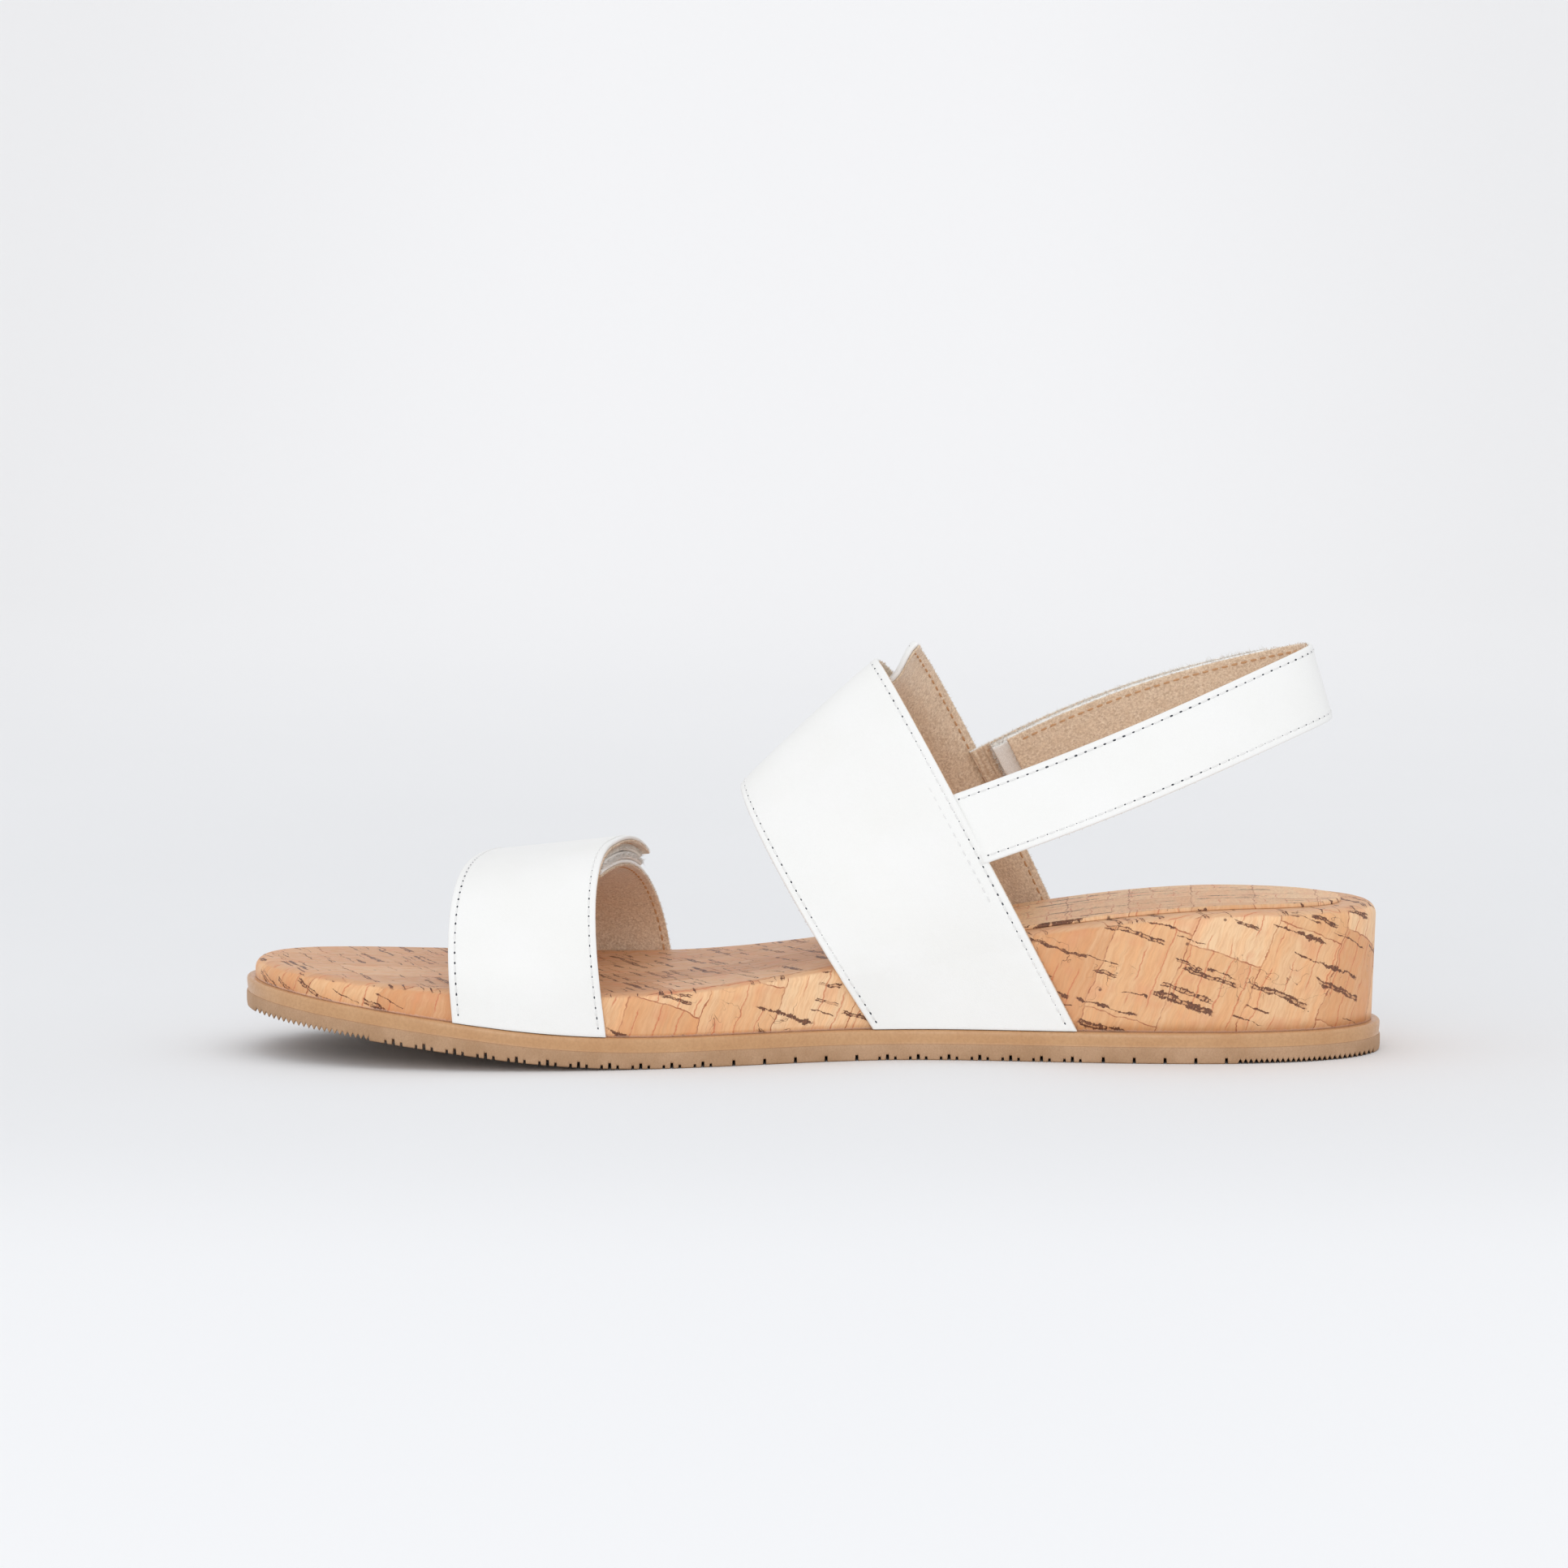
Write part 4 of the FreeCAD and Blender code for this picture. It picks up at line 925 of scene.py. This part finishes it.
def make_cork():
    x = tip_spacing(-HALF, HALF, 60, 1.3)
    lean = 0.85 * smooth((x - 45) / 60)
    arc = {}
    for side in (MEDIAL, LATERAL):
        path = side_ring(x, side, 2.0)
        steps = np.linalg.norm(np.diff(path, axis=0), axis=1)
        arc[side] = np.concatenate([[0], np.cumsum(steps)])
    arc[LATERAL] = 2 * arc[MEDIAL][-1] - arc[LATERAL] + (arc[LATERAL][-1] - arc[MEDIAL][-1])
    turn = np.linspace(0, math.pi / 2, 9)
    profile = {}
    for skin, inset, radius, drop in (("outer", 2.0, CORK_EDGE, 0.0), ("inner", 3.13, 1.75, 1.15)):
        for side in (MEDIAL, LATERAL):
            found = []
            for share in np.linspace(0, 1, 9)[:-1]:
                away = inset - lean * share
                spot = side_ring(x, side, away[:, None])
                bottom, top = outsole_top(spot[:, 0]) + 0.04, footbed(spot[:, 0]) - CORK_EDGE
                z = bottom + (top - bottom) * share
                found.append((spot, z, footbed(spot[:, 0]) - z - CORK_EDGE, 0.0, z - bottom))
            for angle in turn:
                away = inset - lean + radius * (1 - math.cos(angle))
                spot = side_ring(x, side, away[:, None])
                z = footbed(spot[:, 0]) - drop - radius + radius * math.sin(angle)
                found.append((spot, z, -radius * angle + 0 * z, angle / (math.pi / 2), 9 + 0 * z))
            profile[skin, side] = found
    points, walls, tops, lows = [], [], [], []

    def put(spot, z, down, topness, low, side):
        points.append(np.concatenate([spot, z[:, None]], 1))
        walls.append(np.stack([arc[side], -down, 0 * z], 1))
        tops.append(np.full(len(x), float(topness)))
        lows.append(low)

    for skin, order in (("outer", (MEDIAL, LATERAL)), ("inner", (LATERAL, MEDIAL))):
        for item in profile[skin, order[0]]:
            put(*item, order[0])
        a, b = profile[skin, order[0]][-1][0], profile[skin, order[1]][-1][0]
        drop = 0.0 if skin == "outer" else 1.15
        for share in np.linspace(0, 1, 27)[1:-1]:
            spot = a * (1 - share) + b * share
            put(spot, footbed(spot[:, 0]) - drop, 0 * x, 1.0, 9 + 0 * x, order[0])
        for item in profile[skin, order[1]][::-1]:
            put(*item, order[1])
    points = np.stack(points, 1)
    mesh = Mesh()
    mesh.add(points, grid_faces(len(x), points.shape[1], close=True), 0)
    extra = {"topness": np.stack(tops, 1).ravel(), "low": np.stack(lows, 1).ravel()}
    extra["wall"] = np.stack(walls, 1).reshape(-1, 3)
    made = mesh.build("cork_wrap_skin", [CORK], merge=0.004, extra=extra)
    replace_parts(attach(made, "sole"), "cork_wrap")


def make_sock():
    """Cork pad with a pressed, rounded edge: round at the heel and straight across at the front."""
    rail = rails(9.0)
    front, tip = 23.5, rail.tables[MEDIAL][0].max()
    back = tip - 20 * (1 - np.cos(np.linspace(0, math.pi / 2, 40)))
    x = np.unique(np.concatenate([front + edge_steps(0.5), np.arange(front + 1, tip - 20, 1.0), back]))
    near, far = rail.at(x, MEDIAL), rail.at(x, LATERAL)
    rim = np.array([0, 0.02, 0.1, 0.3, 0.6, 1.0]) * 0.014
    share = np.unique(np.concatenate([rim, np.linspace(0.014, 0.986, 24)]))
    share = np.unique(np.concatenate([share, 1 - share[:6]]))
    spot = near[:, None] * (1 - share)[None, :, None] + far[:, None] * share[None, :, None]
    width = np.linalg.norm(far - near, axis=1)[:, None]
    edge = np.minimum(share, 1 - share)[None] * width
    slope = np.gradient(near[:, 1], x)[:, None]
    edge = edge / np.sqrt(1 + np.minimum(slope**2, 400))
    reach = np.sqrt(np.maximum(0, (tip - x) * 50))[:, None]
    h = round_off(np.minimum(edge, reach), 0.5) * round_off(x - front, 0.5)[:, None]
    h[:, [0, -1]] = 0
    top = footbed(spot[..., 0]) + 0.05 + 0.9 * h
    low = footbed(spot[..., 0]) + 0.05
    rows, columns = h.shape
    mesh = Mesh()
    upper = np.concatenate([spot, top[..., None]], -1)
    lower = np.concatenate([spot, low[..., None]], -1)
    mesh.add(upper, grid_faces(rows, columns), 0)
    mesh.add(lower, grid_faces(rows, columns)[:, ::-1], 0)
    made = mesh.build("heel_sock_cork", [SOCK], merge=0.004)
    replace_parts(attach(made, "sole"), "heel_sock")


# ---------------------------------------------------------------- strap pieces


def fold_blend(made, surface, along):
    """Bakes a piece's transform into its mesh; the point at the fold is worked out but not used."""
    point, normal, long, _ = frame_at(surface, 0.0, along)
    point = point + normal * OUTER[1]
    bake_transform(made)


def leather_piece(name, sheet, seams, extra_rows=()):
    """White leather with its stitching, in one mesh."""
    mesh = Mesh()
    add_sheet(mesh, sheet, 0, seams=seams, swell=0.035)
    for seam in seams:
        points, normals, _ = sheet.line(seam, PITCH)
        add_stitches(mesh, points, normals, 1, 2)
    for seam, rows in extra_rows:
        points, normals, _ = sheet.line(seam, PITCH, rows=rows)
        add_stitches(mesh, points, normals, 1, 2)
    return mesh.build(name, [LEATHER, THREAD, NEEDLE_HOLE_SHADE])


def lining_piece(name, sheet, material, fuzz_ends=(False, True), seams=(SEAM, -SEAM)):
    mesh = Mesh()
    add_sheet(mesh, sheet, 0)
    for seam in seams:
        points, normals, _ = sheet.line(seam, PITCH, inside=True)
        add_stitches(mesh, points, normals, 2, 3, radius=0.24)
    edge_fuzz(mesh, sheet, 1, 7.0, 0.42, ends=fuzz_ends)
    return mesh.build(name, [material, FUZZ, LINING_THREAD, LINING_HOLE_SHADE])


def tape_piece(name, sheet, material, outer, hooked):
    mesh = Mesh()
    add_sheet(mesh, sheet, 0)
    edge_fuzz(mesh, sheet, 0, 14.0, 0.8, radius=0.05, ends=(True, True))
    pile(mesh, sheet, 0, 1.6, 0.26, outer, bend=1.6 if hooked else 0.9)
    return mesh.build(name, [material])


def closing_strap(name, surface, fold, free_end, underlay_end, taped, tape_across, drift, curl, extra_rows):
    full = (-0.5, 0.5)
    body = f"{name}_flap"
    square = (0.1, 0.45, 0.45)
    span = (0.0, free_end)
    outer = Sheet(surface, span, full, OUTER, step=0.55, radii=square, lines=(SEAM,))
    made = leather_piece(f"{name}_overlay_leather", outer, (SEAM, -SEAM), extra_rows)
    fold_blend(made, surface, fold)
    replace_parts(made, f"{name}_strap_leather", f"{name}_flap_leather")
    lining = Sheet(surface, span, (-0.49, 0.5), LINING, radii=(0.1, 0.25, 0.25))
    made = lining_piece(f"{name}_overlay_lining", lining, SUEDE)
    fold_blend(made, surface, fold)
    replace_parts(made, f"{name}_strap_lining", f"{name}_flap_lining")
    soft = (0.3, 0.3, 0.3)
    hook = Sheet(surface, taped, tape_across, (-1.65, -0.05), radii=soft)
    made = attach(tape_piece(f"{name}_hook", hook, HOOK, False, True), body)
    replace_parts(made, f"{name}_hook_tape")
    loop = Sheet(surface, taped, tape_across, (-3.55, -1.95), radii=soft)
    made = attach(tape_piece(f"{name}_loop", loop, LOOP, True, False), "sole")
    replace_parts(made, f"{name}_loop_tape")
    under = (underlay_end, 4.0)
    leather = Sheet(
        surface, under, full, (-4.6, -3.6),
        step=0.7, radii=(0.45, 0.1, 0.45), lines=(SEAM,), drift=drift, curl=curl,
    )
    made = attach(leather_piece(f"{name}_underlay_outer", leather, (SEAM, -SEAM)), "sole")
    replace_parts(made, f"{name}_underlay_leather")
    lining = Sheet(surface, under, full, (-5.25, -4.65), radii=(0.25, 0.1, 0.25), drift=drift, curl=curl)
    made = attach(lining_piece(f"{name}_underlay_inner", lining, SUEDE, (True, False)), "sole")
    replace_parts(made, f"{name}_underlay_lining")


def heel_strap():
    full = (-0.5, 0.5)
    span, tab, taped = (-0.016, 0.988), (0.67, 1.012), (0.69, 0.996)
    low, drift = (-0.55, 0.45), -0.03
    outer = Sheet(SLING, span, full, OUTER, step=0.55, radii=(0.1, 0.45, 0.45), lines=(SEAM,))
    made = leather_piece("heel_strap_leather", outer, (SEAM, -SEAM))
    fold_blend(made, SLING, 0.0)
    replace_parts(made, "sling_leather")
    lining = Sheet(SLING, span, (-0.475, 0.5), LINING, radii=(0.1, 0.25, 0.25))
    made = lining_piece("heel_strap_lining", lining, SUEDE)
    fold_blend(made, SLING, 0.0)
    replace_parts(made, "sling_lining")
    soft = (0.3, 0.3, 0.3)
    loop = Sheet(SLING, taped, (-0.44, 0.44), (1.7, 3.3), radii=soft)
    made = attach(tape_piece("heel_strap_loop", loop, LOOP, True, False), "heel_strap")
    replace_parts(made, "sling_loop_tape")
    hook = Sheet(SLING, taped, (-0.44, 0.44), (3.6, 5.2), radii=soft)
    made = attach(tape_piece("heel_tab_hook", hook, HOOK, False, True), "heel_tab")
    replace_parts(made, "sling_hook_tape")
    edges = (0.45, 0.1, 0.45)
    leather = Sheet(SLING, tab, low, (5.9, 6.9), step=0.55, radii=edges, lines=(SEAM,), drift=drift)
    made = leather_piece("heel_tab_leather", leather, (SEAM, -SEAM))
    tab_blend(made)
    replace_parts(made, "sling_tab_leather")
    lining = Sheet(SLING, tab, low, (5.25, 5.85), radii=(0.25, 0.1, 0.25), drift=drift)
    made = lining_piece("heel_tab_lining", lining, RIBBED, (True, False))
    tab_blend(made)
    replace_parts(made, "sling_tab_lining")


def tab_blend(made):
    point, normal, long, _ = frame_at(SLING, 0.0, 1.0)
    point = point + normal * 6.0
    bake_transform(made)


make_outsole()
make_cork()
make_sock()
closing_strap("vamp", VAMP, 1.82, 2.42, 1.86, (1.90, 2.37), (-0.42, 0.46), -0.06, 0.0, ())
SECOND_ROW = ((-3.7, (1.12, 1.45)),)  # beside the instep strap's trailing seam, up the medial side
closing_strap("instep", INSTEP, 1.88, 2.5, 1.92, (1.96, 2.45), (-0.42, 0.42), 0.21, 3.0, SECOND_ROW)
heel_strap()

HIDDEN = {
    "wedge_core": plain_material("core_foam", (52, 50, 48), (70, 68, 66), 1.4, 0.15, 0.9),
    "shank": plain_material("shank_steel", (150, 150, 152), (180, 181, 184), 0.8, 0.02, 0.35, Metallic=1.0),
    "insole_board": plain_material("fibre_board", (150, 122, 92), (178, 150, 116), 2.2, 0.1, 0.85),
    "footbed_foam": plain_material("cushion_foam", (222, 214, 192), (236, 230, 210), 2.0, 0.12, 0.9),
}
for node, material in HIDDEN.items():
    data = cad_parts[node].data
    spots = np.empty(len(data.vertices) * 3, np.float32)
    data.vertices.foreach_get("co", spots)
    data.attributes.new("sheet", "FLOAT_VECTOR", "POINT").data.foreach_set("vector", spots / MM)
    data.materials.clear()
    data.materials.append(material)


# ---------------------------------------------------------------- studio


def make_studio():
    """A pale floor that sweeps up into a backdrop, soft lights, and the camera."""
    turn = np.linspace(0, math.pi / 2, 24)
    line = [(-2.2, 0.0), (1.6, 0.0)]
    line += [(1.6 + 1.2 * math.sin(a), 1.2 - 1.2 * math.cos(a)) for a in turn[1:]] + [(2.8, 4.0)]
    points = [(side * 4.0, y, z) for y, z in line for side in (-1, 1)]
    data = bpy.data.meshes.new("studio_sweep")
    data.from_pydata(points, [], grid_faces(len(line), 2).tolist())
    for polygon in data.polygons:
        polygon.use_smooth = True
    sh = Shader("studio_paper_painted_light", Roughness=0.9, Specular_IOR_Level=0.05)
    at = sh.add("ShaderNodeTexCoord").outputs["Object"]
    x, y, _ = sh.split(at)
    paper = sh.mix(sh.band(sh.noise(at, 2.0), 0.3, 0.7), srgb(235, 236, 237), srgb(237, 238, 239))
    # Painted light: the floor is lighter towards the front, and the backdrop is lighter than the floor,
    # lightest in its middle and darker towards its sides.
    paper = sh.mix(sh.band(y, -0.12, -0.32), paper, srgb(244, 245, 246))
    rim = sh.band(sh.size(x), 0.1, 0.45)
    back = sh.mix(rim, srgb(251, 251, 251), srgb(243, 243, 243))
    data.materials.append(sh.done(sh.mix(sh.band(y, 0.2, 1.7), paper, back)))
    sweep = bpy.data.objects.new("studio_sweep", data)
    bpy.context.scene.collection.objects.link(sweep)

    world = bpy.data.worlds.new("studio")
    world.use_nodes = True
    world.node_tree.nodes["Background"].inputs["Color"].default_value = (0.975, 0.98, 1.0, 1)
    world.node_tree.nodes["Background"].inputs["Strength"].default_value = 0.94
    bpy.context.scene.world = world
    for name, place, aim, size, power in (
        ("key", (-0.3, -2.3, 0.6), (0, 0, 0.04), 1.4, 10.0),
        ("top", (0.1, 0.1, 2.0), (0, 0, 0), 2.0, 1.5),
    ):
        data = bpy.data.lights.new(name, "AREA")
        data.size, data.energy, data.shape = size, power, "DISK"
        light = bpy.data.objects.new(name, data)
        light.location = place
        light.rotation_euler = (Vector(aim) - Vector(place)).to_track_quat("-Z", "Y").to_euler()
        bpy.context.scene.collection.objects.link(light)

    data = bpy.data.cameras.new("camera")
    data.lens, data.sensor_width = 152.3, 36.0
    camera = bpy.data.objects.new("camera", data)
    camera.location = (-0.0067, -1.487, 0.1945)
    camera.rotation_euler = (math.radians(84.8), 0, 0)
    bpy.context.scene.collection.objects.link(camera)
    bpy.context.scene.camera = camera
    bpy.context.scene.view_settings.view_transform = "Standard"


make_studio()
